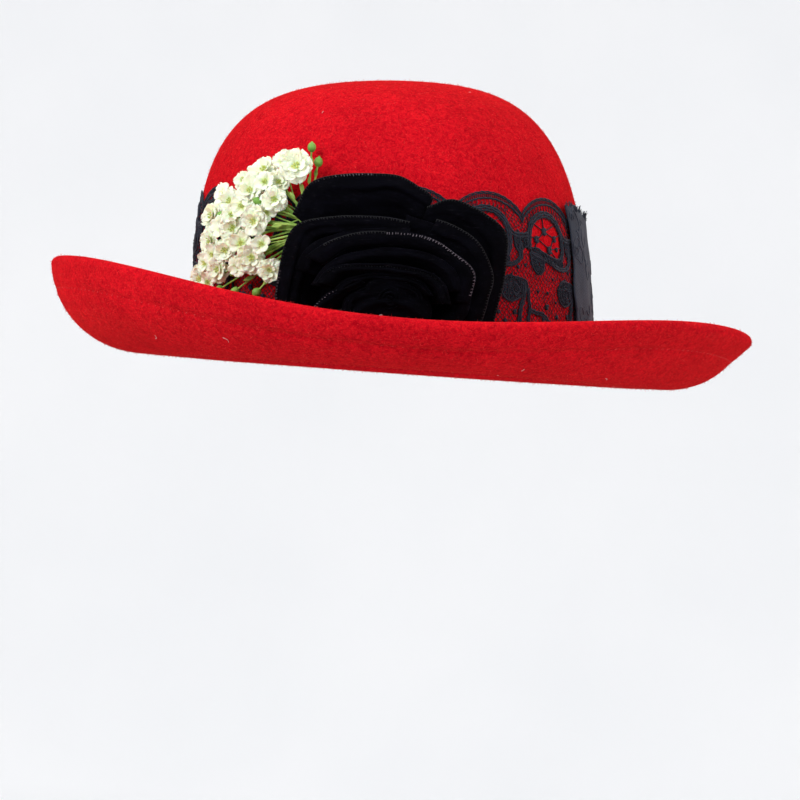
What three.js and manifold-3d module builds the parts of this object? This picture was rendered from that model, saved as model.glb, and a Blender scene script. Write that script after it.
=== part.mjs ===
// A lady's blocked wool-felt hat: domed crown, upturned brim with a wired hem, a scalloped lace band,
// a velvet ribbon rose and a spray of small cloth flowers.
// Millimetres, +Z up. The flat of the brim's underside lies in z = 0, the origin is the centre of the
// head opening there, and the trimmed front of the hat faces -Y.
import * as THREE from 'three';
import { LoftGeometry } from 'three/addons/geometries/LoftGeometry.js';
import { mergeVertices } from 'three/addons/utils/BufferGeometryUtils.js';
import Module from 'manifold-3d';

// ---- Driving dimensions, millimetres ----

const HEAD_WIDTH = 161.5;
const HEAD_LENGTH = 199;
const FELT = 2.6;
const GAP = 0.3;

const CROWN_HEIGHT = 121;
const CROWN_SQUARENESS = 3.4;
const CROWN_LEAN = 0.078;
const CROWN_TILT = 0.07;
const BREAK_RADIUS = 5;

// Brim, as cosine series in the azimuth: constant, one, two... lobes round the head.
const BRIM_REACH = [66.4, 1.8, 0.8];
const BRIM_RISE = [23.2, -6.3, 6.5, -0.8, -2.4];
const BRIM_SLOPE = [58.2, -19.1, 5.6];
const BRIM_FLAT = [33.9, 3.9, -3.6];

const HEM_DEPTH = 10;
const HEM_FELT = 2.3;
const WIRE_RADIUS = 0.8;
const WIRE_CHANNEL = 1.15;

const SWEATBAND_THICKNESS = 0.7;
const SWEATBAND_LOW = 5;
const SWEATBAND_HIGH = 30;
const BOW_THICKNESS = 1.2;
const BOW_REACH = 0.13; // radians each side of the centre back
const BOW_HALF_HEIGHTS = [2.2, 4.5]; // at the knot and at the loops' ends

const LACE_THICKNESS = 0.6;
const LACE_LOW = 8.4;
const LACE_HIGH = 66;
const SCALLOPS = 16;
const SCALLOP_DEPTH = 3.6;
const SCALLOP_PEAK = THREE.MathUtils.degToRad(-38.5);
const JOIN_THICKNESS = 1;
const JOIN_LEFT = -29; // degrees round the crown, at the strip's top
const JOIN_SLANT = 3;
const JOIN_RIGHT = -1;

const PETAL_THICKNESS = 2.2;
const PETAL_ROOT = 0.62;
const ROSE_CENTRE = new THREE.Vector2(-2, 26);
const ROSE_BASE_DEPTH = 3.4;
const BACKING_RADIUS = 25;
const BACKING_RISE = 3;
const BACKING_SQUASH = 0.8;
const BACKING_THICKNESS = 1.5;
const CORE_RADIUS = 6.2;
const CORE_DEPTH = 20;
// The core from its foot to its closed top: [share of the depth, share of the radius].
const CORE_PROFILE = [[0, 0], [0, 0.8], [0.3, 1], [0.8, 0.95], [1, 0.6], [0.97, 0]];
const CORE_SIDES = 12;

const STEM_RADIUS = 0.55;
const STEM_CLEARANCE = 3; // how far a stem stays under the flower it reaches
const STEM_NECK = 1.2;
const BINDING_THICKNESS = 2.2;
const BINDING_WIDTH = 4;
const BINDING_LENGTH = 7;
const BUD_RADIUS = 1.9;
const BLOSSOM_THICKNESS = 3.2;
const BLOSSOM_PETALS = 5;
const BLOSSOM_LOBE = 0.2;
// A blossom from its calyx out round the petals to the eye: [share of the radius, share of the thickness].
const BLOSSOM_PROFILE = [[0, -0.6], [0.95, 0.25], [1, 0.5], [0.55, 0.15], [0, 0]];

// Steps round each kind of piece.
const FELT_STEPS = 48;
const BAND_STEPS = 96;
const PETAL_STEPS = 11;
const BLOSSOM_STEPS = 15;
const STEM_SIDES = 4;

const TAU = Math.PI * 2;
const HALF_PI = Math.PI / 2;

// Inner face of the felt at the foot of the crown: an oval that clears the sweatband.
const OVAL_X = HEAD_WIDTH / 2 + SWEATBAND_THICKNESS + GAP;
const OVAL_Y = HEAD_LENGTH / 2 + SWEATBAND_THICKNESS + GAP;
const INNER_HEIGHT = CROWN_HEIGHT - FELT;
const BREAK_CENTRE = BREAK_RADIUS + FELT;
const LACE_COVER = FELT + GAP;
const LACE_FACE = LACE_COVER + LACE_THICKNESS;

// ---- Shapes of the hat ----

// A point on the head oval, shrunk by `scale` and moved `out` along the oval's outward normal.
function ovalPoint(angle, scale, out, z) {
  const across = Math.cos(angle);
  const along = Math.sin(angle);
  const normal = new THREE.Vector2(across / OVAL_X, along / OVAL_Y).normalize();
  return new THREE.Vector3(
    OVAL_X * scale * across + out * normal.x,
    OVAL_Y * scale * along + out * normal.y,
    z
  );
}

// How much the crown's oval has shrunk at height z: a superellipse from foot to tip.
function crownScale(z) {
  const rise = Math.min(z / INNER_HEIGHT, 1);
  return Math.pow(1 - Math.pow(rise, CROWN_SQUARENESS), 1 / CROWN_SQUARENESS);
}

// Tips the crown to the left: it leans, and its top slopes, more the higher it is.
function tip(point) {
  const rise = point.z / CROWN_HEIGHT;
  const tilt = CROWN_TILT * point.x * rise * rise;
  point.x -= CROWN_LEAN * point.z;
  point.z += tilt;
  return point;
}

// The crown's wall at height z, `cover` outside its inner face.
function crownPoint(angle, z, cover) {
  const scale = crownScale(z);
  const meanRadius = (OVAL_X + OVAL_Y) / 2;
  const normal = new THREE.Vector2(
    Math.pow(scale, CROWN_SQUARENESS - 1) / meanRadius,
    Math.pow(z / INNER_HEIGHT, CROWN_SQUARENESS - 1) / INNER_HEIGHT
  ).normalize();
  return tip(ovalPoint(angle, scale, cover * normal.x, z + cover * normal.y));
}

// Heights that step evenly round the superellipse, from foot to tip.
function crownHeights(steps) {
  const heights = [];
  for (let i = 1; i <= steps; i++) {
    heights.push(INNER_HEIGHT * Math.pow(Math.sin((i / steps) * HALF_PI), 2 / CROWN_SQUARENESS));
  }
  return heights;
}

// The rounded break between crown and brim, `cover` outside the felt's inner face.
function breakPoint(angle, turn, cover) {
  const radius = BREAK_CENTRE - cover;
  const out = BREAK_CENTRE - radius * Math.cos(turn);
  const z = BREAK_CENTRE - radius * Math.sin(turn);
  const point = ovalPoint(angle, 1, out, z);
  point.x -= CROWN_LEAN * z * Math.cos(turn);
  return point;
}

function cosineSeries(terms, angle) {
  return terms.reduce((sum, term, lobes) => sum + term * Math.cos(lobes * angle), 0);
}

// The brim's underside at one azimuth: a flat, an arc and a straight flare up to the rim.
function brimShape(angle) {
  const slope = THREE.MathUtils.degToRad(cosineSeries(BRIM_SLOPE, angle));
  const rise = cosineSeries(BRIM_RISE, angle);
  const flatEnd = cosineSeries(BRIM_FLAT, angle);
  const run = cosineSeries(BRIM_REACH, angle) - flatEnd;
  const drop = 1 - Math.cos(slope);
  const radius = (run * Math.sin(slope) - rise * Math.cos(slope)) / drop;
  const flare = Math.max((Math.sin(slope) * rise - drop * run) / drop, 0.5);
  const flat = flatEnd - BREAK_CENTRE;
  const length = flat + radius * slope + flare;
  return { slope, radius, flare, flat, length };
}

// A point `along` the underside from the break, and `up` off it towards the inside of the brim.
function brimPoint(angle, along, up) {
  const shape = brimShape(angle);
  const turn = THREE.MathUtils.clamp((along - shape.flat) / shape.radius, 0, shape.slope);
  const straight = Math.max(along - shape.flat - shape.radius * shape.slope, 0);
  const level = Math.min(along, shape.flat);
  const out = BREAK_CENTRE + level + shape.radius * Math.sin(turn) + straight * Math.cos(shape.slope);
  const z = shape.radius * (1 - Math.cos(turn)) + straight * Math.sin(shape.slope);
  return ovalPoint(angle, 1, out - up * Math.sin(turn), z + up * Math.cos(turn));
}

// ---- Builders ----

function material(color, roughness) {
  return new THREE.MeshStandardMaterial({ color, roughness, metalness: 0 });
}

const FELT_RED = material(0xc4101c, 0.95);
const WIRE_GREY = new THREE.MeshStandardMaterial({ color: 0x8a8c90, roughness: 0.45, metalness: 1 });
const RIBBON_BLACK = material(0x17171b, 0.7);
const LACE_BLACK = material(0x2b2f3a, 0.8);
const VELVET_BLACK = material(0x08080c, 0.95);
const BACKING_BLACK = material(0x101014, 0.9);
const PETAL_WHITE = material(0xf4f1de, 0.7);
const LEAF_GREEN = material(0x6fa032, 0.6);

const hat = new THREE.Group();

function add(name, geometry, surface) {
  const mesh = new THREE.Mesh(geometry, surface);
  mesh.name = name;
  hat.add(mesh);
}

// Skins a closed outline, given at each azimuth, all the way round the hat.
function around(outline, steps) {
  const sections = [];
  for (let i = 0; i <= steps; i++) sections.push(outline(((i % steps) / steps) * TAU));
  return new LoftGeometry(sections);
}

// A thin closed sheet: `surface(a, b, lift)` is the point at a along, b across and `lift` off the middle.
function sheet(surface, thickness, alongSteps, acrossSteps) {
  const edge = (t) => Math.sqrt(Math.max(1 - Math.pow(Math.abs(2 * t - 1), 8), 0));
  const sections = [];
  for (let i = 0; i <= alongSteps; i++) {
    const a = i / alongSteps;
    const points = [];
    for (let j = 0; j < 2 * acrossSteps; j++) {
      const b = 1 - Math.abs(j / acrossSteps - 1);
      const side = j < acrossSteps ? -1 : 1;
      points.push(surface(a, b, (side * thickness * edge(a) * edge(b)) / 2));
    }
    sections.push(points);
  }
  return new LoftGeometry(sections);
}

// ---- Felt hood: crown and brim blocked from one piece, the hem turned in over the wire ----

const HEM_SLOT = FELT + GAP;
const HEM_TOP = HEM_SLOT + HEM_FELT;
const CROWN_LEVELS = 11;
const BRIM_LEVELS = 6;
const CHANNEL_SIDES = 5;
const FOLD_RADIUS = HEM_TOP / 2;
const CHANNEL_UP = FELT + GAP / 2;

function hoodOutline(angle) {
  const { length, flat } = brimShape(angle);
  const heights = crownHeights(CROWN_LEVELS);
  const points = [];
  for (const z of heights.slice().reverse()) points.push(crownPoint(angle, z, 0));
  for (const turn of [0, 0.5, 1]) points.push(breakPoint(angle, turn * HALF_PI, 0));
  for (let i = 0; i <= BRIM_LEVELS; i++) {
    points.push(brimPoint(angle, THREE.MathUtils.lerp(flat, length, i / BRIM_LEVELS), 0));
  }
  // Round the folded rim.
  for (let i = 1; i < 4; i++) {
    const turn = (i / 4) * Math.PI;
    const ahead = FOLD_RADIUS * Math.sin(turn);
    points.push(brimPoint(angle, length + ahead, FOLD_RADIUS * (1 - Math.cos(turn))));
  }
  // Along the turned-in hem, over its free edge and back down the slot to the wire's channel.
  for (const back of [0, 0.5, 0.9]) points.push(brimPoint(angle, length - back * HEM_DEPTH, HEM_TOP));
  points.push(brimPoint(angle, length - HEM_DEPTH, HEM_SLOT + HEM_FELT / 2));
  for (const back of [0.95, 0.5]) points.push(brimPoint(angle, length - back * HEM_DEPTH, HEM_SLOT));
  for (let i = 0; i <= CHANNEL_SIDES; i++) {
    const turn = THREE.MathUtils.lerp(0.06, 0.94, i / CHANNEL_SIDES) * TAU;
    const along = length - WIRE_CHANNEL * Math.cos(turn);
    points.push(brimPoint(angle, along, CHANNEL_UP + WIRE_CHANNEL * Math.sin(turn)));
  }
  for (const back of [0.5, 0.95, 1.6, 2.4]) {
    const along = Math.max(length - back * HEM_DEPTH, flat + 1);
    points.push(brimPoint(angle, along, FELT));
  }
  points.push(brimPoint(angle, flat, FELT));
  for (const turn of [1, 0.5, 0]) points.push(breakPoint(angle, turn * HALF_PI, FELT));
  for (const z of heights) points.push(crownPoint(angle, z, FELT));
  return points.reverse();
}

add('felt_hood', around(hoodOutline, FELT_STEPS), FELT_RED);

function wireOutline(angle) {
  const { length } = brimShape(angle);
  const points = [];
  for (let i = 0; i < 6; i++) {
    const turn = (i / 6) * TAU;
    const along = length + WIRE_RADIUS * Math.sin(turn);
    points.push(brimPoint(angle, along, CHANNEL_UP + WIRE_RADIUS * Math.cos(turn)));
  }
  return points;
}

add('brim_wire', around(wireOutline, FELT_STEPS), WIRE_GREY);

// ---- Sweatband inside the crown, its join covered by a flat bow at the centre back ----

function bandOutline(angle, heights, near, far) {
  const inner = heights.map((z) => crownPoint(angle, z, near));
  const outer = heights.map((z) => crownPoint(angle, z, far));
  return inner.concat(outer.reverse());
}

const SWEATBAND_LEVELS = [SWEATBAND_LOW, SWEATBAND_HIGH];
const SWEATBAND_FACE = -GAP - SWEATBAND_THICKNESS;
const sweatband = (angle) => bandOutline(angle, SWEATBAND_LEVELS, SWEATBAND_FACE, -GAP);
add('sweatband', around(sweatband, FELT_STEPS), RIBBON_BLACK);

function bowSurface(a, b, lift) {
  const reach = 2 * a - 1;
  const halfHeight = THREE.MathUtils.lerp(...BOW_HALF_HEIGHTS, Math.abs(reach));
  const cover = SWEATBAND_FACE - GAP - (2 / 3) * BOW_THICKNESS + lift;
  const z = (SWEATBAND_LOW + SWEATBAND_HIGH) / 2 + (2 * b - 1) * halfHeight;
  return crownPoint(HALF_PI + reach * BOW_REACH, z, cover);
}

add('sweatband_bow', sheet(bowSurface, BOW_THICKNESS, 12, 3), RIBBON_BLACK);

// ---- Lace band and the doubled strip over its join ----

function laceTop(angle) {
  return LACE_HIGH + SCALLOP_DEPTH * Math.cos(SCALLOPS * (angle - SCALLOP_PEAK));
}

function laceOutline(angle) {
  const top = laceTop(angle);
  const heights = [0, 0.45, 0.78, 1].map((t) => THREE.MathUtils.lerp(LACE_LOW, top, t));
  return bandOutline(angle, heights, LACE_COVER, LACE_FACE);
}

add('lace_band', around(laceOutline, BAND_STEPS), LACE_BLACK);

function joinSurface(a, b, lift) {
  const left = JOIN_LEFT + JOIN_SLANT * (1 - b);
  const angle = THREE.MathUtils.degToRad(THREE.MathUtils.lerp(left, JOIN_RIGHT, a));
  const z = THREE.MathUtils.lerp(LACE_LOW, LACE_HIGH + SCALLOP_DEPTH, b);
  return crownPoint(angle, z, LACE_FACE + GAP + JOIN_THICKNESS / 2 + lift);
}

add('lace_join', sheet(joinSurface, JOIN_THICKNESS, 8, 5), LACE_BLACK);

// ---- Trimmings on the front of the crown ----

// The point of the lace's outer face at (x, z) on the front, moved `depth` forwards.
function frontPoint(x, z, depth) {
  const rise = z / CROWN_HEIGHT;
  const level = z - CROWN_TILT * x * rise * rise;
  const scale = crownScale(level);
  const across = (x + CROWN_LEAN * level) / (OVAL_X * scale + LACE_FACE);
  const y = -(OVAL_Y * scale + LACE_FACE) * Math.sqrt(Math.max(1 - across * across, 0));
  return new THREE.Vector3(x, y - depth, z);
}

// ---- Velvet rose: a rolled core inside petals of folded ribbon, sewn to a stiff backing ----

function backingSurface(a, b, lift) {
  const reach = 2 * a - 1;
  const half = Math.sqrt(Math.max(1 - reach * reach, 0.01));
  const x = ROSE_CENTRE.x + BACKING_RADIUS * reach;
  const z = ROSE_CENTRE.y + BACKING_RISE + BACKING_RADIUS * BACKING_SQUASH * half * (2 * b - 1);
  return frontPoint(x, z, GAP + BACKING_THICKNESS / 2 + lift);
}

add('rose_backing', sheet(backingSurface, BACKING_THICKNESS, 10, 4), BACKING_BLACK);

function coreGeometry() {
  const rings = [];
  for (const [reach, radius] of CORE_PROFILE) {
    const ring = [];
    for (let i = 0; i < CORE_SIDES; i++) {
      const turn = (i / CORE_SIDES) * TAU;
      const x = ROSE_CENTRE.x + CORE_RADIUS * radius * Math.cos(turn);
      const z = ROSE_CENTRE.y + CORE_RADIUS * radius * Math.sin(turn);
      ring.push(frontPoint(x, z, ROSE_BASE_DEPTH + reach * CORE_DEPTH));
    }
    rings.push(ring);
  }
  return new LoftGeometry(rings);
}

add('rose_core', coreGeometry(), VELVET_BLACK);

// Each petal's rim as (x, z) points on the front of the hat, and how far the rim stands off the lace.
const PETALS = [
  { depth: 10, rim: [[-43, 58], [-36, 71], [-20, 75], [-3, 75.5], [8, 70.5], [12, 67.4]] },
  { depth: 11, rim: [[10, 64], [20, 67.5], [34, 63], [42, 56], [42.5, 45], [41, 30], [38, 14]] },
  { depth: 14, rim: [[-46, 14], [-47.5, 28], [-45, 44], [-40, 54], [-26, 57.5], [-12, 58.5], [4, 57]] },
  { depth: 14, rim: [[14, 59], [26, 55], [34, 48], [37.5, 38], [36, 28], [34, 18]] },
  { depth: 18, rim: [[-36, 41], [-27, 48], [-16, 51.4], [0, 52.5], [13, 51], [22, 46.5], [30, 39], [28.7, 27]] },
  { depth: 21, rim: [[-31, 31], [-25, 37], [-9, 39.4], [8, 38.5], [18, 34], [22, 26]] },
  { depth: 20, rim: [[-34, 19], [-28, 25.5], [-20, 31], [-15, 34]] },
  { depth: 14, rim: [[31, 13], [16, 9.5], [0, 8.5], [-16, 9.5], [-32, 13]] },
];

function petalGeometry({ depth, rim }) {
  const curve = new THREE.SplineCurve(rim.map(([x, z]) => new THREE.Vector2(x, z)));
  function surface(a, b, lift) {
    const spoke = curve.getPoint(a).sub(ROSE_CENTRE);
    const radius = spoke.length();
    const spread = radius * (1 - PETAL_ROOT);
    const stand = depth - ROSE_BASE_DEPTH;
    const tilt = Math.atan2(stand, spread);
    const reach = radius * PETAL_ROOT + spread * b - lift * Math.sin(tilt);
    const place = spoke.setLength(reach).add(ROSE_CENTRE);
    return frontPoint(place.x, place.y, ROSE_BASE_DEPTH + stand * b + lift * Math.cos(tilt));
  }
  return sheet(surface, PETAL_THICKNESS, PETAL_STEPS, 4);
}

PETALS.forEach((petal, index) => {
  add(`rose_petal_${index + 1}`, petalGeometry(petal), VELVET_BLACK);
});

// ---- Flower spray: cloth blossoms and buds on wired stems that run in behind the rose ----

// x, z and depth of each blossom's middle, its radius, and the way it faces: left, and up.
const BLOSSOMS = [
  { at: [-43.2, 77.1, 12], radius: 6.4, left: 0.1, up: 0.3 },
  { at: [-56.2, 75.7, 9], radius: 5.4, left: 0.5, up: 0.6 },
  { at: [-49.5, 70.6, 8.4], radius: 4.6, left: 0.3, up: 0.3 },
  { at: [-60.9, 67, 13], radius: 5.6, left: 0.5, up: 0.3 },
  { at: [-69.5, 63, 8], radius: 5.2, left: 0.8, up: 0.3 },
  { at: [-58.4, 60.8, 7.6], radius: 4.2, left: 0.5, up: 0 },
  { at: [-50.6, 63.4, 11.5], radius: 5, left: 0.2, up: 0.1 },
  { at: [-58.3, 54.4, 16], radius: 5.4, left: 0.3, up: -0.1 },
  { at: [-77, 57.4, 10], radius: 5.4, left: 1.2, up: 0.1 },
  { at: [-67.2, 51.6, 12.5], radius: 5.6, left: 0.4, up: 0.1 },
  { at: [-77.2, 46.8, 12], radius: 4.8, left: 1, up: 0 },
  { at: [-69.4, 42.4, 17], radius: 5, left: 0.5, up: 0.1 },
  { at: [-58.3, 40.1, 12], radius: 5.6, left: 0.2, up: -0.1 },
  { at: [-72.6, 35.4, 12], radius: 5, left: 0.6, up: -0.2 },
  { at: [-80.6, 31.5, 12], radius: 4.6, left: 0.9, up: -0.2 },
  { at: [-50.6, 35.4, 9.4], radius: 4.4, left: 0.1, up: -0.1 },
];

const BUDS = [
  [-37.6, 85.6, 5],
  [-34.4, 79.6, 5],
  [-57.3, 62.4, 15.4],
  [-72.6, 57, 15],
  [-65, 34, 12.6],
  [-64.6, 26.6, 10],
  [-71.5, 27.2, 11],
  [-55.4, 26.4, 9],
];

// Stems leave the binding one above another; each carries the blossoms and buds numbered here.
const SPRIGS = [
  { blossoms: [1, 2, 3], buds: [1, 2] },
  { blossoms: [4, 5, 6, 7], buds: [3] },
  { blossoms: [8, 9, 10, 11], buds: [4] },
  { blossoms: [12, 13, 14, 15], buds: [5] },
  { blossoms: [16], buds: [6, 7, 8] },
];
const BINDING = { x: -37, z: 53.5, depth: 4, pitch: 2.2 };

const facingOf = ({ left, up }) => new THREE.Vector3(-left, -1, up).normalize();

function blossomGeometry(blossom) {
  const { at, radius } = blossom;
  const middle = frontPoint(...at);
  const turn = new THREE.Quaternion().setFromUnitVectors(new THREE.Vector3(0, 0, 1), facingOf(blossom));
  const rings = BLOSSOM_PROFILE.map(([reach, height]) => {
    const ring = [];
    for (let i = 0; i < BLOSSOM_STEPS; i++) {
      const angle = (i / BLOSSOM_STEPS) * TAU;
      const lobe = 1 - BLOSSOM_LOBE * (1 - Math.abs(Math.cos((BLOSSOM_PETALS / 2) * angle)));
      const r = radius * reach * (reach > 0.8 ? lobe : 1);
      const point = new THREE.Vector3(r * Math.cos(angle), r * Math.sin(angle), height * BLOSSOM_THICKNESS);
      ring.push(point.applyQuaternion(turn).add(middle));
    }
    return ring;
  });
  return new LoftGeometry(rings);
}

BLOSSOMS.forEach((blossom, index) => {
  add(`blossom_${String(index + 1).padStart(2, '0')}`, blossomGeometry(blossom), PETAL_WHITE);
});

BUDS.forEach((at, index) => {
  const geometry = new THREE.SphereGeometry(BUD_RADIUS, 8, 5);
  geometry.applyMatrix4(new THREE.Matrix4().makeTranslation(frontPoint(...at)));
  add(`bud_${index + 1}`, geometry, LEAF_GREEN);
});

const wasm = await Module();
wasm.setup();

function solidOf(geometry) {
  const bare = geometry.clone();
  for (const name of ['normal', 'uv']) bare.deleteAttribute(name);
  const merged = mergeVertices(bare, 1e-4);
  const vertProperties = merged.attributes.position.array;
  const triVerts = new Uint32Array(merged.index.array);
  return new wasm.Manifold(new wasm.Mesh({ numProp: 3, vertProperties, triVerts }));
}

function geometryOf(solid) {
  const { vertProperties, triVerts } = solid.getMesh();
  const geometry = new THREE.BufferGeometry();
  geometry.setAttribute('position', new THREE.BufferAttribute(vertProperties, 3));
  geometry.setIndex(new THREE.BufferAttribute(triVerts, 1));
  return geometry;
}

const stemSection = new THREE.Shape(
  Array.from({ length: STEM_SIDES }, (_, i) => {
    const turn = (i / STEM_SIDES) * TAU;
    return new THREE.Vector2(STEM_RADIUS * Math.cos(turn), STEM_RADIUS * Math.sin(turn));
  })
);

// A wire stem between two [x, z, depth] places: it leaves the binding low over the lace, and
// meets its flower at `end` along the direction `arrival`.
function stem(from, to, end, arrival) {
  const points = [0, 0.25, 0.5, 0.72].map((t) => {
    const x = THREE.MathUtils.lerp(from[0], to[0], t);
    const z = THREE.MathUtils.lerp(from[1], to[1], t);
    return frontPoint(x, z, THREE.MathUtils.lerp(from[2], to[2] - STEM_CLEARANCE, t));
  });
  points.push(end.clone().addScaledVector(arrival, -STEM_NECK), end);
  const extrudePath = new THREE.CatmullRomCurve3(points);
  return new THREE.ExtrudeGeometry(stemSection, { steps: 6, extrudePath });
}

SPRIGS.forEach(({ blossoms, buds }, index) => {
  const z = BINDING.z + BINDING.pitch * (SPRIGS.length / 2 - 0.5 - index);
  const from = [BINDING.x, z, BINDING.depth];
  const stems = blossoms.map((number) => {
    const blossom = BLOSSOMS[number - 1];
    const facing = facingOf(blossom);
    const end = frontPoint(...blossom.at).addScaledVector(facing, -0.6 * BLOSSOM_THICKNESS - GAP);
    return stem(from, blossom.at, end, facing);
  });
  for (const number of buds) {
    const bud = BUDS[number - 1];
    const middle = frontPoint(...bud);
    const arrival = middle.clone().sub(frontPoint(...from)).normalize();
    const end = middle.clone().addScaledVector(arrival, -BUD_RADIUS - GAP);
    stems.push(stem(from, bud, end, arrival));
  }
  const whole = stems.map(solidOf).reduce((joined, next) => joined.add(next));
  add(`sprig_${index + 1}`, geometryOf(whole), LEAF_GREEN);
});

function bindingSurface(a, b, lift) {
  const x = BINDING.x + GAP + 0.1 + BINDING_WIDTH * a;
  const z = BINDING.z + BINDING_LENGTH * (b - 0.5);
  return frontPoint(x, z, BINDING.depth + lift);
}

add('stem_binding', sheet(bindingSurface, BINDING_THICKNESS, 4, 4), LEAF_GREEN);

export default hat;
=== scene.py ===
import math

import bpy
import numpy as np
from mathutils import Matrix, Vector


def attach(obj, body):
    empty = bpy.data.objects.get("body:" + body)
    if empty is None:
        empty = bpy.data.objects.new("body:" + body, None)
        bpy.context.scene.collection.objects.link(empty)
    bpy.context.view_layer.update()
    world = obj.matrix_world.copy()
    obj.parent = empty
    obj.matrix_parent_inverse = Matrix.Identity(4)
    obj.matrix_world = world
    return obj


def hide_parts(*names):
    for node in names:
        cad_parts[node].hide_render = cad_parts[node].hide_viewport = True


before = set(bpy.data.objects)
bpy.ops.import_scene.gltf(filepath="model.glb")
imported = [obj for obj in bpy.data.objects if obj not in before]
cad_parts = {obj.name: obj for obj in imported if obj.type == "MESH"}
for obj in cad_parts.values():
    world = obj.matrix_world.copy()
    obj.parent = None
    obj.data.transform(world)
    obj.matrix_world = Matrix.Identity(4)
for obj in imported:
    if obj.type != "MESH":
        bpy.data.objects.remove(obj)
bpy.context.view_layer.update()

MM = 0.001
TAU = 2 * math.pi
SHAPE_SEED = 11

# ---- The frame's driving dimensions, millimetres ----

OVAL_X, OVAL_Y = 81.75, 100.5
FELT, GAP = 2.6, 0.3
CROWN_HEIGHT, INNER_HEIGHT = 121.0, 118.4
SQUARENESS = 3.4
LEAN, TILT = 0.078, 0.07
BREAK_CENTRE = 7.6
BRIM_REACH = (66.4, 1.8, 0.8)
BRIM_RISE = (23.2, -6.3, 6.5, -0.8, -2.4)
BRIM_SLOPE = (58.2, -19.1, 5.6)
BRIM_FLAT = (33.9, 3.9, -3.6)
HEM_DEPTH, HEM_FELT = 10.0, 2.3
SWEATBAND_LOW, SWEATBAND_HIGH, SWEATBAND_THICKNESS = 5.0, 30.0, 0.7
LACE_LOW, LACE_HIGH = 8.4, 66.0
SCALLOPS = 16
SCALLOP_PEAK = math.radians(-38.5)
SCALLOP_VALLEY, SCALLOP_RISE = 62.8, 8.2
LACE_FACE = 3.5
ROSE_X, ROSE_Z = -2.0, 26.0
PETAL_ROOT = 0.62
ROSE_BASE_DEPTH = 3.4
FORWARDS = (0.0, -1.0, 0.0)


def oval_point(angle, scale, out, z):
    """Points on the head oval, shrunk by scale and moved out along the oval's normal."""
    angle, scale, out, z = np.broadcast_arrays(angle, scale, out, z)
    across, along = np.cos(angle), np.sin(angle)
    nx, ny = across / OVAL_X, along / OVAL_Y
    size = np.hypot(nx, ny)
    x = OVAL_X * scale * across + out * nx / size
    y = OVAL_Y * scale * along + out * ny / size
    return np.stack([x, y, z], -1)


def crown_scale(z):
    """How wide the crown's inside is at height z, from 1 at its foot to 0 at its tip."""
    rise = np.clip(np.asarray(z, float) / INNER_HEIGHT, 0, 1)
    return (1 - rise ** SQUARENESS) ** (1 / SQUARENESS)


def crown_point(angle, z, cover):
    """The crown's wall at height z, cover outside its inner face, leaning and tilting as it rises."""
    scale = crown_scale(z)
    out = scale ** (SQUARENESS - 1) / ((OVAL_X + OVAL_Y) / 2)
    up = (np.clip(z, 0, INNER_HEIGHT) / INNER_HEIGHT) ** (SQUARENESS - 1) / INNER_HEIGHT
    size = np.hypot(out, up)
    point = oval_point(angle, scale, cover * out / size, z + cover * up / size)
    rise = point[..., 2] / CROWN_HEIGHT
    tilt = TILT * point[..., 0] * rise ** 2
    point[..., 0] -= LEAN * point[..., 2]
    point[..., 2] += tilt
    return point


def break_point(angle, turn, cover):
    """The bend from crown to brim: turn is 0 at the crown's foot and a quarter turn at the brim."""
    radius = BREAK_CENTRE - cover
    out = BREAK_CENTRE - radius * np.cos(turn)
    z = BREAK_CENTRE - radius * np.sin(turn)
    point = oval_point(angle, 1.0, out, z)
    point[..., 0] -= LEAN * z * np.cos(turn)
    return point


def cosine_series(terms, angle):
    """A measure that varies round the brim: its mean, then its one-lobed and two-lobed parts."""
    return sum(term * np.cos(lobes * angle) for lobes, term in enumerate(terms))


def brim_shape(angle):
    """The brim's section: its end slope, its curve's radius, its flat run and its whole length."""
    slope = np.radians(cosine_series(BRIM_SLOPE, angle))
    rise = cosine_series(BRIM_RISE, angle)
    flat_end = cosine_series(BRIM_FLAT, angle)
    run = cosine_series(BRIM_REACH, angle) - flat_end
    drop = 1 - np.cos(slope)
    radius = (run * np.sin(slope) - rise * np.cos(slope)) / drop
    flare = np.maximum((np.sin(slope) * rise - drop * run) / drop, 0.5)
    flat = flat_end - BREAK_CENTRE
    return slope, radius, flat, flat + radius * slope + flare


def brim_point(angle, along, up):
    """A point along the underside from the break, and up off it towards the inside of the brim."""
    slope, radius, flat, _ = brim_shape(angle)
    turn = np.clip((along - flat) / radius, 0, slope)
    straight = np.maximum(along - flat - radius * slope, 0)
    level = np.minimum(along, flat)
    out = BREAK_CENTRE + level + radius * np.sin(turn) + straight * np.cos(slope)
    z = radius * (1 - np.cos(turn)) + straight * np.sin(slope)
    return oval_point(angle, 1.0, out - up * np.sin(turn), z + up * np.cos(turn))


def front_point(x, z, depth):
    """The point of the lace's outer face at (x, z) on the front of the hat, moved depth forwards."""
    x, z, depth = np.broadcast_arrays(np.asarray(x, float), z, depth)
    level = z - TILT * x * (z / CROWN_HEIGHT) ** 2
    scale = crown_scale(level)
    across = (x + LEAN * level) / (OVAL_X * scale + LACE_FACE)
    y = -(OVAL_Y * scale + LACE_FACE) * np.sqrt(np.clip(1 - across ** 2, 0, 1))
    return np.stack([x, y - depth, z], -1)


def unit(vectors):
    size = np.linalg.norm(vectors, axis=-1, keepdims=True)
    return vectors / np.maximum(size, 1e-9)


def ripple(points, size, seed):
    """Smooth unevenness from -1 to 1 over points, with lumps about size across."""
    rng = np.random.default_rng(seed)
    total = np.zeros(points.shape[:-1])
    for _ in range(9):
        direction = rng.normal(size=3)
        direction *= TAU / (size * rng.uniform(1.4, 3.0) * np.linalg.norm(direction))
        total += np.sin(points @ direction + rng.uniform(0, TAU))
    return total / 5


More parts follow.
